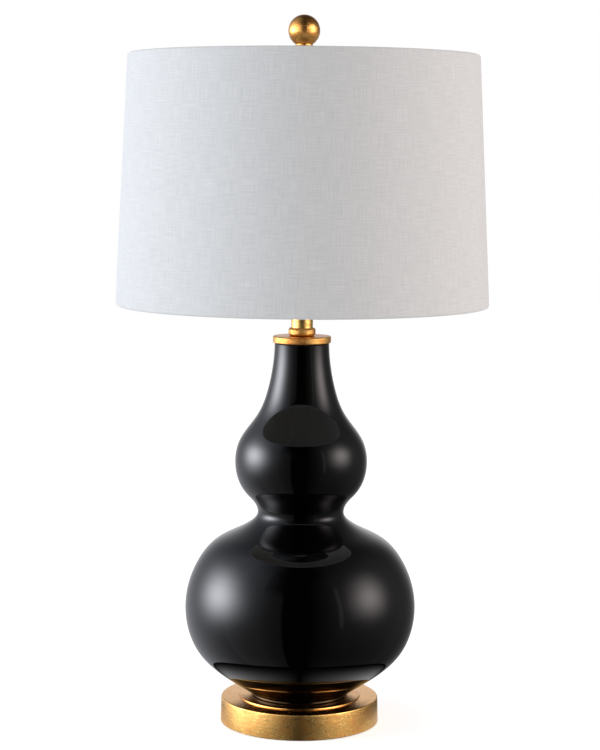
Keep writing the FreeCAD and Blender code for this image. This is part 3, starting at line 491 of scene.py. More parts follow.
def outlineMesh(name, points, **attributes):
    # an open line of points, in metres, with a value or vector of each attribute at each point
    mesh = bpy.data.meshes.new(name)
    mesh.from_pydata([tuple(point) for point in points],
                     [(k, k + 1) for k in range(len(points) - 1)], [])
    for key, values in attributes.items():
        isVector = hasattr(values[0], "__len__")
        held = mesh.attributes.new(key, "FLOAT_VECTOR" if isVector else "FLOAT", "POINT")
        for place, value in enumerate(values):
            if isVector:
                held.data[place].vector = value
            else:
                held.data[place].value = value
    return mesh


def softened(corners, closed=True, arcStep=12.0):
    # an outline's points; a corner's third number is the radius that rounds it
    points = []
    count = len(corners)
    for place, corner in enumerate(corners):
        here = Vector(corner[:2])
        if len(corner) == 2:
            points.append(here)
            continue
        before = Vector(corners[place - 1][:2]) - here
        after = Vector(corners[(place + 1) % count][:2]) - here
        half = before.angle(after) / 2
        reach = corner[2] / math.tan(half)
        middle = (before.normalized() + after.normalized()).normalized()
        centre = here + middle * corner[2] / math.sin(half)
        first = here + before.normalized() * reach - centre
        last = here + after.normalized() * reach - centre
        sweep = first.angle_signed(last)
        parts = max(3, round(abs(sweep) / (arcStep * degree)))
        for part in range(parts + 1):
            points.append(centre + Matrix.Rotation(-sweep * part / parts, 2) @ first)
    if closed:
        points.append(points[0].copy())
    return points


def profile(sizes, *places, closed=True):
    # a rounded outline: each place names its radius, its level and its corner's rounding
    held = dict(sizes, axis=0.0)
    return softened([tuple(held[name] for name in place.split()) for place in places], closed)


def turned(name, points, node, steps=facets["large"], girth=None, ribs=0, ribDepth=0.0,
           finish=None):
    # girth is the radius at which the cloth coordinates are true; their seam is at the back.
    # Ribs are cut into the widest part of the outline.
    run = [0.0]
    for before, point in zip(points, points[1:]):
        run.append(run[-1] + (Vector(point) - Vector(before)).length * mm)
    widest = max(x for x, z in points)
    mesh = outlineMesh(name, [(x * mm, 0, z * mm) for x, z in points], along=run,
                       ribbed=[float(x > widest - 10 * weld) for x, z in points])
    return grown(name, turning, {
        "Steps": steps, "Girth": fullTurn * (girth or widest) * mm, "Start": math.pi,
        "Ribs": ribs, "Rib depth": ribDepth * mm,
        "Finish": finishes[finish or slotOf[node]].material}, mesh)


def bent(name, places, node, steps=16, looped=False):
    # places are (point, side, cross, square); an open end is closed by its own middle point
    if not looped:
        ends = [(place[0], Vector((0, 0, 0)), Vector((0, 0, 0)), 1.0)
                for place in (places[0], places[-1])]
        places = [ends[0], *places, ends[1]]
    points, sides, crosses, squares = zip(*places)
    piece = grown(name, bending, {"Steps": steps, "Finish": finishes[slotOf[node]].material},
                  outlineMesh(name, [point * mm for point in points],
                              side=[side * mm for side in sides],
                              cross=[cross * mm for cross in crosses], square=squares))
    return outward(piece)


def outward(piece):
    # one mesh's faces, turned to point out of it
    shape = bmesh.new()
    shape.from_mesh(piece.data)
    bmesh.ops.recalc_face_normals(shape, faces=shape.faces)
    shape.to_mesh(piece.data)
    shape.free()
    return piece


def joined(name, parts):
    # several meshes of one material as one piece
    shape = bmesh.new()
    for part in parts:
        shape.from_mesh(part.data)
    mesh = bpy.data.meshes.new(name)
    shape.to_mesh(mesh)
    shape.free()
    mesh.materials.append(parts[0].data.materials[0])
    mesh.set_sharp_from_angle(angle=crease)
    for part in parts:
        bpy.data.objects.remove(part)
    piece = bpy.data.objects.new(name, mesh)
    scene.collection.objects.link(piece)
    return piece


def plate(name, outline, low, high, node, edge=0.3):
    # a flat outline with a thickness and softened edges
    shape = bmesh.new()
    ring = [shape.verts.new((x * mm, y * mm, low * mm)) for x, y in outline]
    face = shape.faces.new(ring)
    lifted = bmesh.ops.extrude_face_region(shape, geom=[face])["geom"]
    bmesh.ops.translate(shape, vec=(0, 0, (high - low) * mm),
                        verts=[item for item in lifted if isinstance(item, bmesh.types.BMVert)])
    bmesh.ops.recalc_face_normals(shape, faces=shape.faces)
    rims = [line for line in shape.edges if line.calc_face_angle() > rimTurn]
    bmesh.ops.bevel(shape, geom=rims, offset=edge * mm, segments=3, profile=0.5,
                    affect="EDGES", clamp_overlap=True)
    for face in shape.faces:
        face.smooth = True
    mesh = bpy.data.meshes.new(name)
    shape.to_mesh(mesh)
    shape.free()
    mesh.materials.append(finishes[slotOf[node]].material)
    mesh.set_sharp_from_angle(angle=crease)
    piece = bpy.data.objects.new(name, mesh)
    scene.collection.objects.link(piece)
    return piece


def drilled(piece, radius, start, finish, level, steps=64):
    # a round hole along Y at a level, from start to finish
    shape = bmesh.new()
    bmesh.ops.create_cone(shape, cap_ends=True, segments=steps, radius1=radius * mm,
                          radius2=radius * mm, depth=abs(finish - start) * mm)
    mesh = bpy.data.meshes.new("drill")
    shape.to_mesh(mesh)
    shape.free()
    mesh.transform(Matrix.Translation((0, (start + finish) / 2 * mm, level * mm))
                   @ Matrix.Rotation(math.pi / 2, 4, "X"))
    mesh.materials.append(piece.data.materials[0])
    drill = bpy.data.objects.new("drill", mesh)
    scene.collection.objects.link(drill)
    cut = piece.modifiers.new("hole", "BOOLEAN")
    cut.object = drill
    cut.operation = "DIFFERENCE"
    settled(piece)
    bpy.data.objects.remove(drill)
    return piece


def arc(radius, centre, lowest, parts):
    # a round outline from its lowest angle up to its top, on the lamp's axis
    return [Vector((radius * math.cos(turn), centre + radius * math.sin(turn)))
            for turn in (lowest + (math.pi / 2 - lowest) * part / parts
                         for part in range(parts + 1))]


def stands(piece, node):
    # the piece takes the place of a CAD node, on its body and with its material slot
    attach(piece, bodyOf[node])
    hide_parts(node)


def stood(name, node, points, steps=facets["large"], finish=None):
    # a turned piece that needs nothing more, in its place
    stands(turned(name, points, node, steps, finish=finish), node)


base = dict(foot=82.0, footRounding=0.5, rim=81.2, bottom=1.0, top=27.0, rounding=1.6, step=63.0,
            stepTop=28.6, stepFoot=0.3, stepRounding=1.2, bore=5.4, recess=60.0, ceiling=16.0,
            ground=0.0, felt=79.5, feltRounding=0.3)
inlet = dict(level=9.0, bore=3.4, body=5.0, bodyHole=5.05, flange=7.0, flangeHole=7.25,
             seat=79.6, back=-14.0, face=0.0, front=2.0, rounding=0.8, backRounding=0.4,
             mouthRounding=0.6, overshoot=5.0)

plinth = turned("goldPlinth", profile(
    base, "bore ceiling", "recess ceiling", "recess bottom", "foot bottom footRounding",
    "rim top rounding", "step top stepFoot", "step stepTop stepRounding", "bore stepTop"),
    "base_plinth", facets["wide"])
outside = base["foot"] + inlet["overshoot"]
drilled(plinth, inlet["bodyHole"], base["recess"] - inlet["overshoot"], outside, inlet["level"])
drilled(plinth, inlet["flangeHole"], inlet["seat"], outside, inlet["level"])
stands(plinth, "base_plinth")

feltPad = turned("feltPad", profile(
    base, "axis ground", "felt ground feltRounding", "felt bottom feltRounding", "axis bottom",
    closed=False), "base_felt", facets["small"])
stands(feltPad, "base_felt")

bushing = turned("cordBushing", profile(
    inlet, "bore back backRounding", "body back backRounding", "body face", "flange face",
    "flange front rounding", "bore front mouthRounding"), "cord_bushing", facets["tiny"])
bushing.data.transform(Matrix.Translation((0, inlet["seat"] * mm, inlet["level"] * mm))
                       @ Matrix.Rotation(-math.pi / 2, 4, "X"))
stands(bushing, "cord_bushing")
print("base made")


gourd = dict(
    foot=29.4, wall=6.0, floor=8.0, roof=9.0, footHole=7.0, mouth=15.0, edge=0.7,
    lipRounding=0.56, lipClear=0.5, floorClear=0.5, roofClear=2.0, insideEvery=4,
    stations=[(50, 1.7), (78.5, 20.7), (105.5, 45.7), (119, 91.7), (108.5, 134.7), (89, 159.7),
              (52, 180.2), (44.5, 189.7), (45.5, 196.7), (57.5, 211.7), (68, 244.7),
              (63.5, 265.2), (45, 292.2), (33.5, 322.7), (28, 365.4)],
    footLean=(0.7986, 0.5263), neckLean=(-0.0080, 0.9951), fineness=9)


def smoothLine(places, firstLean, lastLean, fineness):
    # a curve through the places with even curvature, solved for its lean at each of them
    knots = [Vector(place) for place in places]
    gaps = [(after - before).length for before, after in zip(knots, knots[1:])]
    leans = [Vector(firstLean)] + [None] * (len(knots) - 2) + [Vector(lastLean)]
    carried = [(0.0, leans[0])]
    for k in range(1, len(knots) - 1):
        left, right = gaps[k - 1], gaps[k]
        wanted = 3 * (right * (knots[k] - knots[k - 1]) / left
                      + left * (knots[k + 1] - knots[k]) / right)
        factor, held = carried[-1]
        weight = 2 * (left + right) - right * factor
        carried.append((left / weight, (wanted - right * held) / weight))
    for k in range(len(knots) - 2, 0, -1):
        factor, held = carried[k]
        leans[k] = held - factor * leans[k + 1]
    points = [knots[0]]
    for k, gap in enumerate(gaps):
        for part in range(1, fineness + 1):
            t = part / fineness
            points.append(knots[k] * (2 * t ** 3 - 3 * t ** 2 + 1)
                          + leans[k] * gap * (t ** 3 - 2 * t ** 2 + t)
                          + knots[k + 1] * (3 * t ** 2 - 2 * t ** 3)
                          + leans[k + 1] * gap * (t ** 3 - t ** 2))
    return points


skin = smoothLine(gourd["stations"], gourd["footLean"], gourd["neckLean"], gourd["fineness"])
skin = [point + Vector((0, gourd["foot"])) for point in skin]
gourdTop = skin[-1].y
lipStart = Vector((skin[-1].x, gourdTop - gourd["edge"]))
skin = [point for point in skin[:-1] if point.y < lipStart.y - gourd["lipClear"]]
floorLevel, roofLevel = gourd["foot"] + gourd["floor"], gourdTop - gourd["roof"]
inside = [point - Vector((gourd["wall"], 0)) for point in skin
          if floorLevel + gourd["floorClear"] < point.y < roofLevel - gourd["roofClear"]]
inside = inside[::gourd["insideEvery"]]
inside.insert(0, inside[0] + (inside[0] - inside[1])
              * (inside[0].y - floorLevel) / (inside[1].y - inside[0].y))
gourdLine = [Vector(corner) for corner in softened([
    (gourd["footHole"], gourd["foot"]), (skin[0].x, gourd["foot"], gourd["edge"]),
    (skin[0].x, skin[0].y)], closed=False)]
gourdLine += skin[1:] + softened([
    tuple(lipStart), (lipStart.x, gourdTop, gourd["lipRounding"]), (gourd["mouth"], gourdTop),
    (gourd["mouth"], roofLevel), (inside[-1].x, roofLevel)], closed=False)
gourdLine += inside[::-1] + [Vector((gourd["footHole"], floorLevel)),
                             Vector((gourd["footHole"], gourd["foot"]))]
stood("glazedGourd", "gourd_body", gourdLine, facets["wide"])
print("gourd made")


neck = dict(capRadius=29.8, capBottom=395.6, capTop=402.6, capRounding=1.2, spigot=14.75,
            spigotBottom=389.6, bore=5.4, beadRadius=13.9, beadTop=411.1, beadFoot=3.2,
            beadShoulder=2.6, tubeRadius=11.1, tubeInside=10.1, tubeTop=440.1, ringRadius=12.5,
            ringTop=442.1, ringFoot=0.3, ringRounding=0.7)

stood("goldCap", "vase_cap", profile(
    neck, "bore spigotBottom", "spigot spigotBottom", "spigot capBottom",
    "capRadius capBottom capRounding", "capRadius capTop capRounding", "bore capTop"))
stood("goldBead", "neck_bead", profile(
    neck, "bore capTop", "beadRadius capTop beadFoot", "beadRadius beadTop beadShoulder",
    "bore beadTop"), facets["small"])
stood("neckTube", "neck_tube", profile(
    neck, "tubeInside beadTop", "tubeRadius beadTop", "tubeRadius tubeTop",
    "tubeInside tubeTop"), facets["small"])
stood("checkRing", "check_ring", profile(
    neck, "bore tubeTop", "ringRadius tubeTop ringFoot", "ringRadius ringTop ringRounding",
    "bore ringTop"), facets["small"])
print("neck made")


harp = dict(level=443.7, strap=1.6, length=71.0, width=14.0, corner=4.0, postNear=27.5,
            postFar=29.5, postWidth=6.0, postHeight=12.0, postCorner=1.6, leg=30.7, wire=2.0,
            straight=48.0, side=54.0, low=90.0, high=160.0, crown=34.0, crownLevel=676.1,
            bends=(40.0, 60.0, 60.0, 30.0), tongue=14.0, tongueHalf=1.0, tongueWide=3.0,
            easing=9.0, easingSteps=6, square=0.3, steps=24)
sleeves = dict(near=26.9, far=33.5, deep=3.8, corner=1.7, wall=0.8, height=14.0, square=0.25)
stud = dict(bottom=673.1, block=5.5, blockRounding=0.8, flange=8.0, flangeBottom=679.1, top=680.6,
            flangeRounding=0.4, pin=3.1, pinTop=693.6, pinRounding=0.5)
fourCorners = ((-1, -1), (1, -1), (1, 1), (-1, 1))

strap = plate("strap", softened([
    (x * harp["length"] / 2, y * harp["width"] / 2, harp["corner"])
    for x, y in fourCorners], arcStep=15)[:-1],
    harp["level"] - harp["strap"], harp["level"], "harp_saddle")
saddleParts = [strap]
postLine = softened([(-harp["postWidth"] / 2, 0), (harp["postWidth"] / 2, 0),
                     (harp["postWidth"] / 2, harp["postHeight"], harp["postCorner"]),
                     (-harp["postWidth"] / 2, harp["postHeight"], harp["postCorner"])],
                    arcStep=15)[:-1]
for near, far in ((harp["postNear"], harp["postFar"]), (-harp["postFar"], -harp["postNear"])):
    post = plate("post", postLine, near, far, "harp_saddle")
    standing = Matrix(((0, 0, 1, 0), (1, 0, 0, 0), (0, 1, 0, harp["level"] * mm), (0, 0, 0, 1)))
    post.data.transform(standing)
    saddleParts.append(post)
stands(joined("harpSaddle", saddleParts), "harp_saddle")

half = [(harp["leg"], harp["level"]), (harp["leg"], harp["level"] + harp["straight"]),
        (harp["side"], harp["level"] + harp["low"]), (harp["side"], harp["level"] + harp["high"]),
        (harp["crown"], harp["crownLevel"])]
rounded = [half[0]] + [(*corner, bend) for corner, bend in zip(half[1:], harp["bends"])]
rounded += [(-corner[0], *corner[1:]) for corner in rounded[::-1]]
wireLine = softened(rounded, closed=False, arcStep=5)
legSteps = [harp["level"] + harp["tongue"] + harp["easing"] * part / harp["easingSteps"]
            for part in range(harp["easingSteps"] + 1)]
wireLine = ([wireLine[0]] + [Vector((harp["leg"], level)) for level in legSteps]
            + wireLine[1:-1] + [Vector((-harp["leg"], level)) for level in legSteps[::-1]]
            + [wireLine[-1]])
bowPlaces = []
for k, point in enumerate(wireLine):
    ahead = wireLine[min(k + 1, len(wireLine) - 1)] - wireLine[max(k - 1, 0)]
    ahead.normalize()
    rise = (point.y - harp["level"] - harp["tongue"]) / harp["easing"]
    roundness = min(max(rise, 0.0), 1.0)
    roundness = roundness * roundness * (3 - 2 * roundness)
    thick = harp["tongueHalf"] + (harp["wire"] - harp["tongueHalf"]) * roundness
    wide = harp["tongueWide"] + (harp["wire"] - harp["tongueWide"]) * roundness
    bowPlaces.append((Vector((point.x, 0, point.y)), Vector((ahead.y, 0, -ahead.x)) * thick,
                      Vector((0, 1, 0)) * wide,
                      harp["square"] + (1 - harp["square"]) * roundness))
stands(bent("harpBow", bowPlaces, "harp_bow", harp["steps"]), "harp_bow")

stood("harpStud", "harp_stud", profile(
    stud, "axis bottom", "block bottom blockRounding", "block flangeBottom",
    "flange flangeBottom flangeRounding", "flange top flangeRounding", "pin top",
    "pin pinTop pinRounding", "axis pinTop", closed=False), facets["tiny"])

middle = (sleeves["near"] + sleeves["far"]) / 2
reach = (sleeves["far"] - sleeves["near"]) / 2
for name, node, side in (("sleeveLeft", "harp_sleeve_left", -1),
                         ("sleeveRight", "harp_sleeve_right", 1)):
    loop = softened([(x * reach, y * sleeves["deep"], sleeves["corner"])
                     for x, y in fourCorners])
    places = []
    for k, point in enumerate(loop):
        ahead = loop[(k + 1) % (len(loop) - 1)] - loop[(k - 1) % (len(loop) - 1)]
        ahead.normalize()
        places.append((Vector((side * middle + point.x, point.y,
                               harp["level"] + sleeves["height"] / 2)),
                       Vector((ahead.y, -ahead.x, 0)) * sleeves["wall"] / 2,
                       Vector((0, 0, sleeves["height"] / 2)), sleeves["square"]))
    stands(bent(name, places, node, harp["steps"], looped=True), node)
print("harp made")


socket = dict(level=443.7, bore=5.4, hub=8.0, hubTop=450.7, hubFoot=0.6, hubRounding=1.4,
              coneTop=455.7, coneRounding=2.2, insideRounding=1.6, radius=17.0, capTop=460.7,
              wall=0.7, lip=0.25, shell=16.25, shellBottom=456.7, shellTop=497.7, roll=1.0,
              rollFoot=0.4, rollUnder=0.35, rollTop=0.45, rollInside=0.3, switchLevel=463.7,
              switchHole=2.6, overshoot=5.0, holeSteps=32)
socket.update(capInside=socket["radius"] - socket["wall"], hubInside=socket["hub"] - socket["wall"],
              coneInside=socket["coneTop"] + socket["wall"],
              hubInsideTop=socket["hubTop"] + socket["wall"],
              shellInside=socket["shell"] - socket["wall"],
              rolled=socket["shell"] + socket["roll"],
              rollStart=socket["shellTop"] - socket["roll"])
knob = dict(bore=1.85, start=21.0, collar=3.6, startRounding=0.4, collarEnd=25.0,
            collarRounding=0.5, radius=5.6, shoulder=1.2, end=33.0, rounding=1.4, boreEnd=29.05,
            ribs=20, ribDepth=0.45, steps=200)

stood("socketCap", "socket_cap", profile(
    socket, "bore level", "hub level hubFoot", "hub hubTop hubRounding",
    "radius coneTop coneRounding", "radius capTop lip", "capInside capTop lip",
    "capInside coneInside insideRounding", "hubInside hubInsideTop", "bore hubInsideTop"),
    facets["slim"])
shell = turned("socketShell", profile(
    socket, "shellInside shellBottom", "shell shellBottom", "shell rollStart rollFoot",
    "rolled rollStart rollUnder", "rolled shellTop rollTop", "shellInside shellTop rollInside"),
    "socket_shell", facets["slim"])
drilled(shell, socket["switchHole"], -socket["radius"] - socket["overshoot"],
        -socket["radius"] + socket["overshoot"], socket["switchLevel"], socket["holeSteps"])
stands(shell, "socket_shell")

switchKnob = turned("switchKnob", profile(
    knob, "bore start", "collar start startRounding", "collar collarEnd collarRounding",
    "radius collarEnd shoulder", "radius end rounding", "axis end", "axis boreEnd",
    "bore boreEnd"), "switch_knob", knob["steps"], ribs=knob["ribs"], ribDepth=knob["ribDepth"])
switchKnob.data.transform(Matrix.Translation((0, 0, socket["switchLevel"] * mm))
                          @ Matrix.Rotation(math.pi / 2, 4, "X"))
stands(switchKnob, "switch_knob")
print("socket made")


bulb = dict(base=499.4, baseRadius=13.0, baseRounding=0.5, collarStart=502.4, collarRadius=15.0,
            collarRounding=1.5, neckRadius=17.0, neckRounding=0.4, collarTop=521.4, radius=30.0,
            wall=1.0, top=579.4, cheek=35.0, steps=40)

stood("bulbCollar", "bulb_collar", profile(
    bulb, "axis base", "baseRadius base baseRounding", "collarRadius collarStart collarRounding",
    "neckRadius collarTop neckRounding", "axis collarTop", closed=False), facets["slim"])

# the globe's glass: its straight cheek leaves the round at the cheek's angle below the middle
outer, inner = [arc(size, bulb["top"] - bulb["radius"], -bulb["cheek"] * degree, bulb["steps"])
                for size in (bulb["radius"], bulb["radius"] - bulb["wall"])]
glassFoot = Vector((bulb["neckRadius"] - bulb["wall"], bulb["collarTop"]))
stood("bulbGlobe", "bulb_globe", [glassFoot, Vector((bulb["neckRadius"], bulb["collarTop"]))]
      + outer + inner[::-1] + [glassFoot], facets["small"])
print("bulb made")


finial = dict(bore=3.5, bottom=682.4, foot=0.3, seat=7.0, seatTop=685.4, seatRounding=0.6,
              stem=5.2, stemFoot=0.5, collar=8.8, collarBottom=696.3, collarTop=698.1,
              collarRounding=0.5, stud=694.0, ball=16.05, steps=60)

stood("finialBase", "finial_base", profile(
    finial, "bore bottom", "seat bottom foot", "seat seatTop seatRounding",
    "stem seatTop stemFoot", "stem collarBottom", "collar collarBottom collarRounding",
    "collar collarTop collarRounding", "axis collarTop", "axis stud", "bore stud"),
    facets["small"], "finial_leaf")
ballMiddle = finial["collarTop"] + math.sqrt(finial["ball"] ** 2 - finial["collar"] ** 2)
seated = math.asin((finial["collarTop"] - ballMiddle) / finial["ball"])
stood("finialBall", "finial_ball", [Vector((0, finial["collarTop"]))]
      + arc(finial["ball"], ballMiddle, seated, finial["steps"]), facets["small"], "finial_leaf")
print("finial made")


shade = dict(bottom=434.1, top=687.8, bottomRadius=190.5, topRadius=177.8, cloth=0.8,
             backing=0.6, backingEdge=4.5, wire=1.6, wireInset=3.1, wireEdge=2.0, bead=5.2,
             beadTop=4.4, beadRounding=2.0, glued=1.8, gluedRounding=3.0, beadEnd=9.0, tail=18.0,
             corner=2.2, seamWide=6.0, seamThick=0.35, seamEdge=2.5, seamKnots=90.0,
             seamSquare=0.3, ringSteps=128)
slope = (shade["topRadius"] - shade["bottomRadius"]) / (shade["top"] - shade["bottom"])


def onShade(inset, level):
    # a point set in from the shade's outside at a level
    return Vector((shade["bottomRadius"] - inset + slope * (level - shade["bottom"]), level))


def ribbon(line, thickness):
    # both sides of a line, as one closed outline
    leans = []
    for k in range(len(line)):
        ahead = line[min(k + 1, len(line) - 1)] - line[max(k - 1, 0)]
        leans.append(Vector((ahead.y, -ahead.x)).normalized() * thickness / 2)
    return ([point + lean for point, lean in zip(line, leans)]
            + [point - lean for point, lean in zip(line[::-1], leans[::-1])]
            + [line[0] + leans[0]])


skinInset = shade["cloth"] / 2
low, high = shade["bottom"] + skinInset, shade["top"] - skinInset
foldLine = softened([
    tuple(onShade(shade["glued"], low + shade["tail"])),
    (*onShade(shade["glued"], low + shade["beadEnd"]), shade["gluedRounding"]),
    (*onShade(shade["bead"], low + shade["beadTop"]), shade["beadRounding"]),
    (*onShade(shade["bead"], low), shade["corner"]), (*onShade(skinInset, low), shade["corner"]),
    (*onShade(skinInset, high), shade["corner"]), (*onShade(shade["bead"], high), shade["corner"]),
    (*onShade(shade["bead"], high - shade["beadTop"]), shade["beadRounding"]),
    (*onShade(shade["glued"], high - shade["beadEnd"]), shade["gluedRounding"]),
    tuple(onShade(shade["glued"], high - shade["tail"]))], closed=False)
cutLength = sum((after - before).length for before, after in zip(foldLine, foldLine[1:]))
cloth = turned("linenShade", ribbon(foldLine, shade["cloth"]), "shade_cloth", facets["wide"],
               girth=shade["bottomRadius"])
stands(cloth, "shade_cloth")

# the lap where the panel's two ends meet, at the back
seamOut = Vector((0, 1, -slope)).normalized() * shade["seamThick"]
seamLevels = (shade["bottom"] + shade["seamEdge"], shade["bottom"] + shade["seamKnots"],
              shade["top"] - shade["seamKnots"], shade["top"] - shade["seamEdge"])
seamPlaces = [(Vector((0, *onShade(-shade["seamThick"] / 2, level))), seamOut,
               Vector((shade["seamWide"], 0, 0)), shade["seamSquare"]) for level in seamLevels]
seam = bent("shadeLap", seamPlaces, "shade_cloth", harp["steps"])
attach(seam, "shade")

backingLine = [onShade(shade["cloth"] + shade["backing"] / 2, level)
               for level in (shade["bottom"] + shade["backingEdge"],
                             shade["top"] - shade["backingEdge"])]
stood("shadeBacking", "shade_backing", ribbon(backingLine, shade["backing"]))


def wireRing(name, level, node):
    # a welded ring of wire just inside the shade
    size = onShade(shade["wireInset"], level).x
    places = []
    for part in range(shade["ringSteps"] + 1):
        turn = fullTurn * part / shade["ringSteps"]
        out = Vector((math.cos(turn), math.sin(turn), 0))
        places.append((out * size + Vector((0, 0, level)), out * shade["wire"],
                       Vector((0, 0, shade["wire"])), 1.0))
    return bent(name, places, node, 12, looped=True)


stands(wireRing("bottomRing", shade["bottom"] + shade["wireEdge"], "shade_bottom_ring"),
       "shade_bottom_ring")
hub = dict(bottom=680.6, top=682.4, radius=14.0, rounding=0.5, bore=3.5, arm=1.5,
           armStart=11.5, arms=3)
ringLevel = shade["top"] - shade["wireEdge"]
frameParts = [wireRing("topRing", ringLevel, "shade_frame"), turned("hub", profile(
    hub, "bore bottom", "radius bottom rounding", "radius top rounding", "bore top"),
    "shade_frame", facets["slim"])]
for arm in range(hub["arms"]):
    turn = math.pi / 2 + fullTurn * arm / hub["arms"]
    out = Vector((math.cos(turn), math.sin(turn), 0))
    begin = out * hub["armStart"] + Vector((0, 0, (hub["bottom"] + hub["top"]) / 2))
    end = out * onShade(shade["wireInset"], ringLevel).x + Vector((0, 0, ringLevel))
    along = (end - begin).normalized()
    flat = along.cross(Vector((0, 0, 1))).normalized()
    frameParts.append(bent("arm", [(point, flat * hub["arm"], flat.cross(along) * hub["arm"], 1.0)
                                   for point in (begin, end)], "shade_frame", 16))
stands(joined("shadeFrame", frameParts), "shade_frame")
print("shade made")


# Studio. Gloss sees a tent with soft lights in it, and cloth is lit by lamps and the room.
studio = dict(floor=0.82, floorGlow=0.62, reach=3.5, world=0.525, tent=3.0, middle=0.3,
              opening=(12, 45), lampAim=0.45, rings=32)
softLights = [
    # strength, azimuth from the front (right is positive), height, spread across, spread up, tint
    (9.76, -89, 9, 15.0, 12.0, (0.97, 0.98, 1.05)),
    (0.83, -92, 32, 31.0, 28.0, (0.90, 0.98, 1.12)),
    (3.30, 75, 13, 12.0, 10.6, (1.08, 0.96, 0.96)),
    (0.21, 163, 2, 10.0, 10.0, (1.0, 1.0, 1.0)),
    (0.30, -139, -83, 71.0, 16.0, (0.97, 0.98, 1.05)),
    (0.67, -129, -24, 39.0, 29.0, (0.97, 0.98, 1.05)),
    (0.22, 84, 15, 43.0, 36.0, (1.0, 1.0, 1.0)),
    (0.60, 180, 8, 16.0, 16.0, (1.0, 1.0, 1.0)),
]
panels = [
    # strength, azimuth from and to, height from and to, softness of its sides and of its ends
    (0.09, -41, -18, -70, 28, 3, 14),
    (0.10, -80, -40.5, -75, 50, 3, 20),
    (0.03, 14, 120, -75, 45, 12, 14),
    (0.18, 38.3, 42.5, -12, 32, 2, 10),
    (0.06, 50, 95, -6, 34, 2.5, 8),
]
white = (1.0, 1.0, 1.0)
lamps = [
    # name, azimuth, elevation, distance, size, strength, color, whether it is for the gold alone
    ("leftLamp", -79, 8, 2.4, 1.3, 6.70, (0.84, 0.905, 1.0), False),
    ("rightLamp", 81, 8, 2.4, 1.3, 4.38, (1.0, 0.86, 0.80), False),
    ("goldLeft", -52, 14, 2.4, 2.2, 1.7, (1.0, 0.98, 0.92), True),
    ("goldRight", 56, 14, 2.4, 2.2, 2.6, (1.0, 0.96, 0.90), True),
]


def seenThrough(graph):
    # 1 for what the camera sees itself, in gloss and through glass
    path = graph.node("ShaderNodeLightPath").socket.node.outputs
    rays = [Signal(graph, path[name])
            for name in ("Is Camera Ray", "Is Glossy Ray", "Is Transmission Ray")]
    return rays[0].most(rays[1]).most(rays[2])


world = bpy.data.worlds.new("studioRoom")
world.use_nodes = True
scene.world = world
room = Graph(world.node_tree)
background = world.node_tree.nodes["Background"]
background.inputs["Color"].default_value = (*white, 1.0)
shown = seenThrough(room)
room.feed(background.inputs["Strength"], shown + (1 - shown) * studio["world"])


def stagePiece(name, mesh, made):
    piece = bpy.data.objects.new(name, mesh)
    mesh.materials.append(made.material)
    scene.collection.objects.link(piece)
    return piece


def glossOnly(piece):
    # only reflections see the piece, and it isn't sampled as a lamp
    piece.visible_camera = piece.visible_diffuse = False
    piece.visible_shadow = piece.visible_transmission = False
    piece.data.materials[0].cycles.emission_sampling = "NONE"


paper = Finish("paleFloor", (studio["floor"],) * 3, 0.9, Specular_IOR_Level=0.0,
               Emission_Strength=1.0)
paper.set("Emission Color", paper.scaled(white, seenThrough(paper) * studio["floorGlow"]))
mesh = bpy.data.meshes.new("paleFloor")
mesh.from_pydata([(x * studio["reach"], y * studio["reach"], 0) for x, y in fourCorners], [],
                 [(0, 1, 2, 3)])
stagePiece("paleFloor", mesh, paper).visible_glossy = False

# a ring seen only in reflections, glowing as a painted reflection of the pale table close to the
# lamp as its foot reflects it: bright at the sides, dark in front
sheen = dict(start=81.5, fade=86.0, end=145.0, level=0.4, sides=0.7, steps=128)
paintedTableReflection = Finish("paintedTableReflection", (0.0, 0.0, 0.0), 1.0, Specular_IOR_Level=0.0,
                    Emission_Strength=1.0)
x, y, z = paintedTableReflection.place().parts()
away = (x * x + y * y).math("SQRT")
# painted reflection: the glow is strongest at the sides and fades to nothing in front and behind
glow = sheen["sides"] * (x.size() / away) * paintedTableReflection.ramp(
    away, sheen["fade"] * mm, sheen["end"] * mm, 1.0, 0.0)
paintedTableReflection.set("Emission Color", paintedTableReflection.scaled(white, glow))
rim = [fullTurn * part / sheen["steps"] for part in range(sheen["steps"])]
following = list(range(1, sheen["steps"])) + [0]
mesh = bpy.data.meshes.new("paintedTableReflection")
mesh.from_pydata([(math.cos(turn) * size * mm, math.sin(turn) * size * mm, sheen["level"] * mm)
                  for size in (sheen["start"], sheen["end"]) for turn in rim], [],
                 [(part, after, sheen["steps"] + after, sheen["steps"] + part)
                  for part, after in enumerate(following)])
glossOnly(stagePiece("paintedTableReflection", mesh, paintedTableReflection))

tentCloth = Finish("softTent", (0.0, 0.0, 0.0), 1.0, Specular_IOR_Level=0.0,
                   Emission_Strength=1.0)
x, y, z = tentCloth.place().parts()
azimuth = x.math("ARCTAN2", -y) * (1 / degree)
height = ((z - studio["middle"]) / studio["tent"]).math("ARCSINE") * (1 / degree)


def within(value, low, high, softness):
    # 1 between two limits, with soft edges
    half = softness / 2
    return (tentCloth.ramp(value, low - half, low + half)
            * tentCloth.ramp(value, high - half, high + half, 1.0, 0.0))


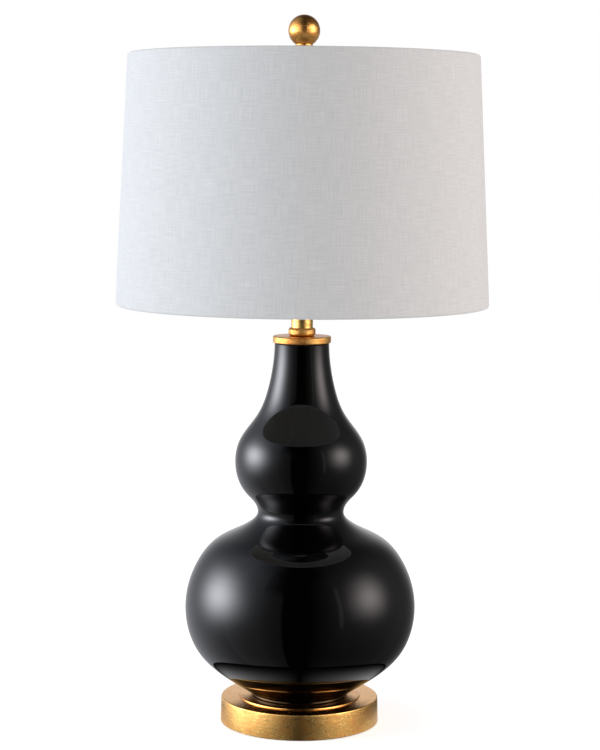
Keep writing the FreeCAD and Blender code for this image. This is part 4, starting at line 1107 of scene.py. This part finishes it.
glow = (0.0, 0.0, 0.0)
opening = tentCloth.ramp(azimuth.size(), *studio["opening"])  # the dark gap round the camera
for strength, toward, up, wideSpread, highSpread, tint in softLights:
    away = ((azimuth - toward) * degree).cosine() - 1
    off = (height - up) / highSpread
    fade = (away / (wideSpread * degree) ** 2 - 0.5 * off * off).exponent()
    glow = tentCloth.together(glow, tentCloth.scaled(tint, fade * opening * strength))
for strength, left, right, bottom, top, sideSoft, endSoft in panels:
    lit = within(azimuth, left, right, sideSoft) * within(height, bottom, top, endSoft)
    glow = tentCloth.together(glow, tentCloth.scaled(white, lit * strength))
tentCloth.set("Emission Color", glow)
shape = bmesh.new()
bmesh.ops.create_uvsphere(shape, u_segments=2 * studio["rings"], v_segments=studio["rings"],
                          radius=studio["tent"])
bmesh.ops.translate(shape, verts=shape.verts, vec=(0, 0, studio["middle"]))
mesh = bpy.data.meshes.new("softTent")
shape.to_mesh(mesh)
shape.free()
glossOnly(stagePiece("softTent", mesh, tentCloth))

# metal has no diffuse colour of its own, so the gold pieces have two lamps to themselves
goldPieces = bpy.data.collections.new("goldPieces")
goldFinishes = [finishes[slot].material for slot in
                ("gold_leaf_wood", "gold_leaf_brass", "finial_leaf", "polished_brass")]
for piece in scene.collection.all_objects:
    if piece.type == "MESH" and any(made in goldFinishes for made in piece.data.materials):
        goldPieces.objects.link(piece)
for name, azimuth, elevation, distance, size, strength, color, forGold in lamps:
    data = bpy.data.lights.new(name, "AREA")
    data.shape = "DISK"
    data.size = size
    data.color = color
    data.energy = strength * (math.pi * size) ** 2 / 4
    piece = bpy.data.objects.new(name, data)
    scene.collection.objects.link(piece)
    away = (Matrix.Rotation(azimuth * degree, 3, "Z")
            @ Matrix.Rotation(-elevation * degree, 3, "X") @ Vector((0, -1, 0)))
    piece.location = Vector((0, 0, studio["lampAim"])) + away * distance
    piece.rotation_euler = away.to_track_quat("Z", "Y").to_euler()
    piece.visible_glossy = forGold
    if forGold:
        piece.light_linking.receiver_collection = goldPieces
print("studio made")
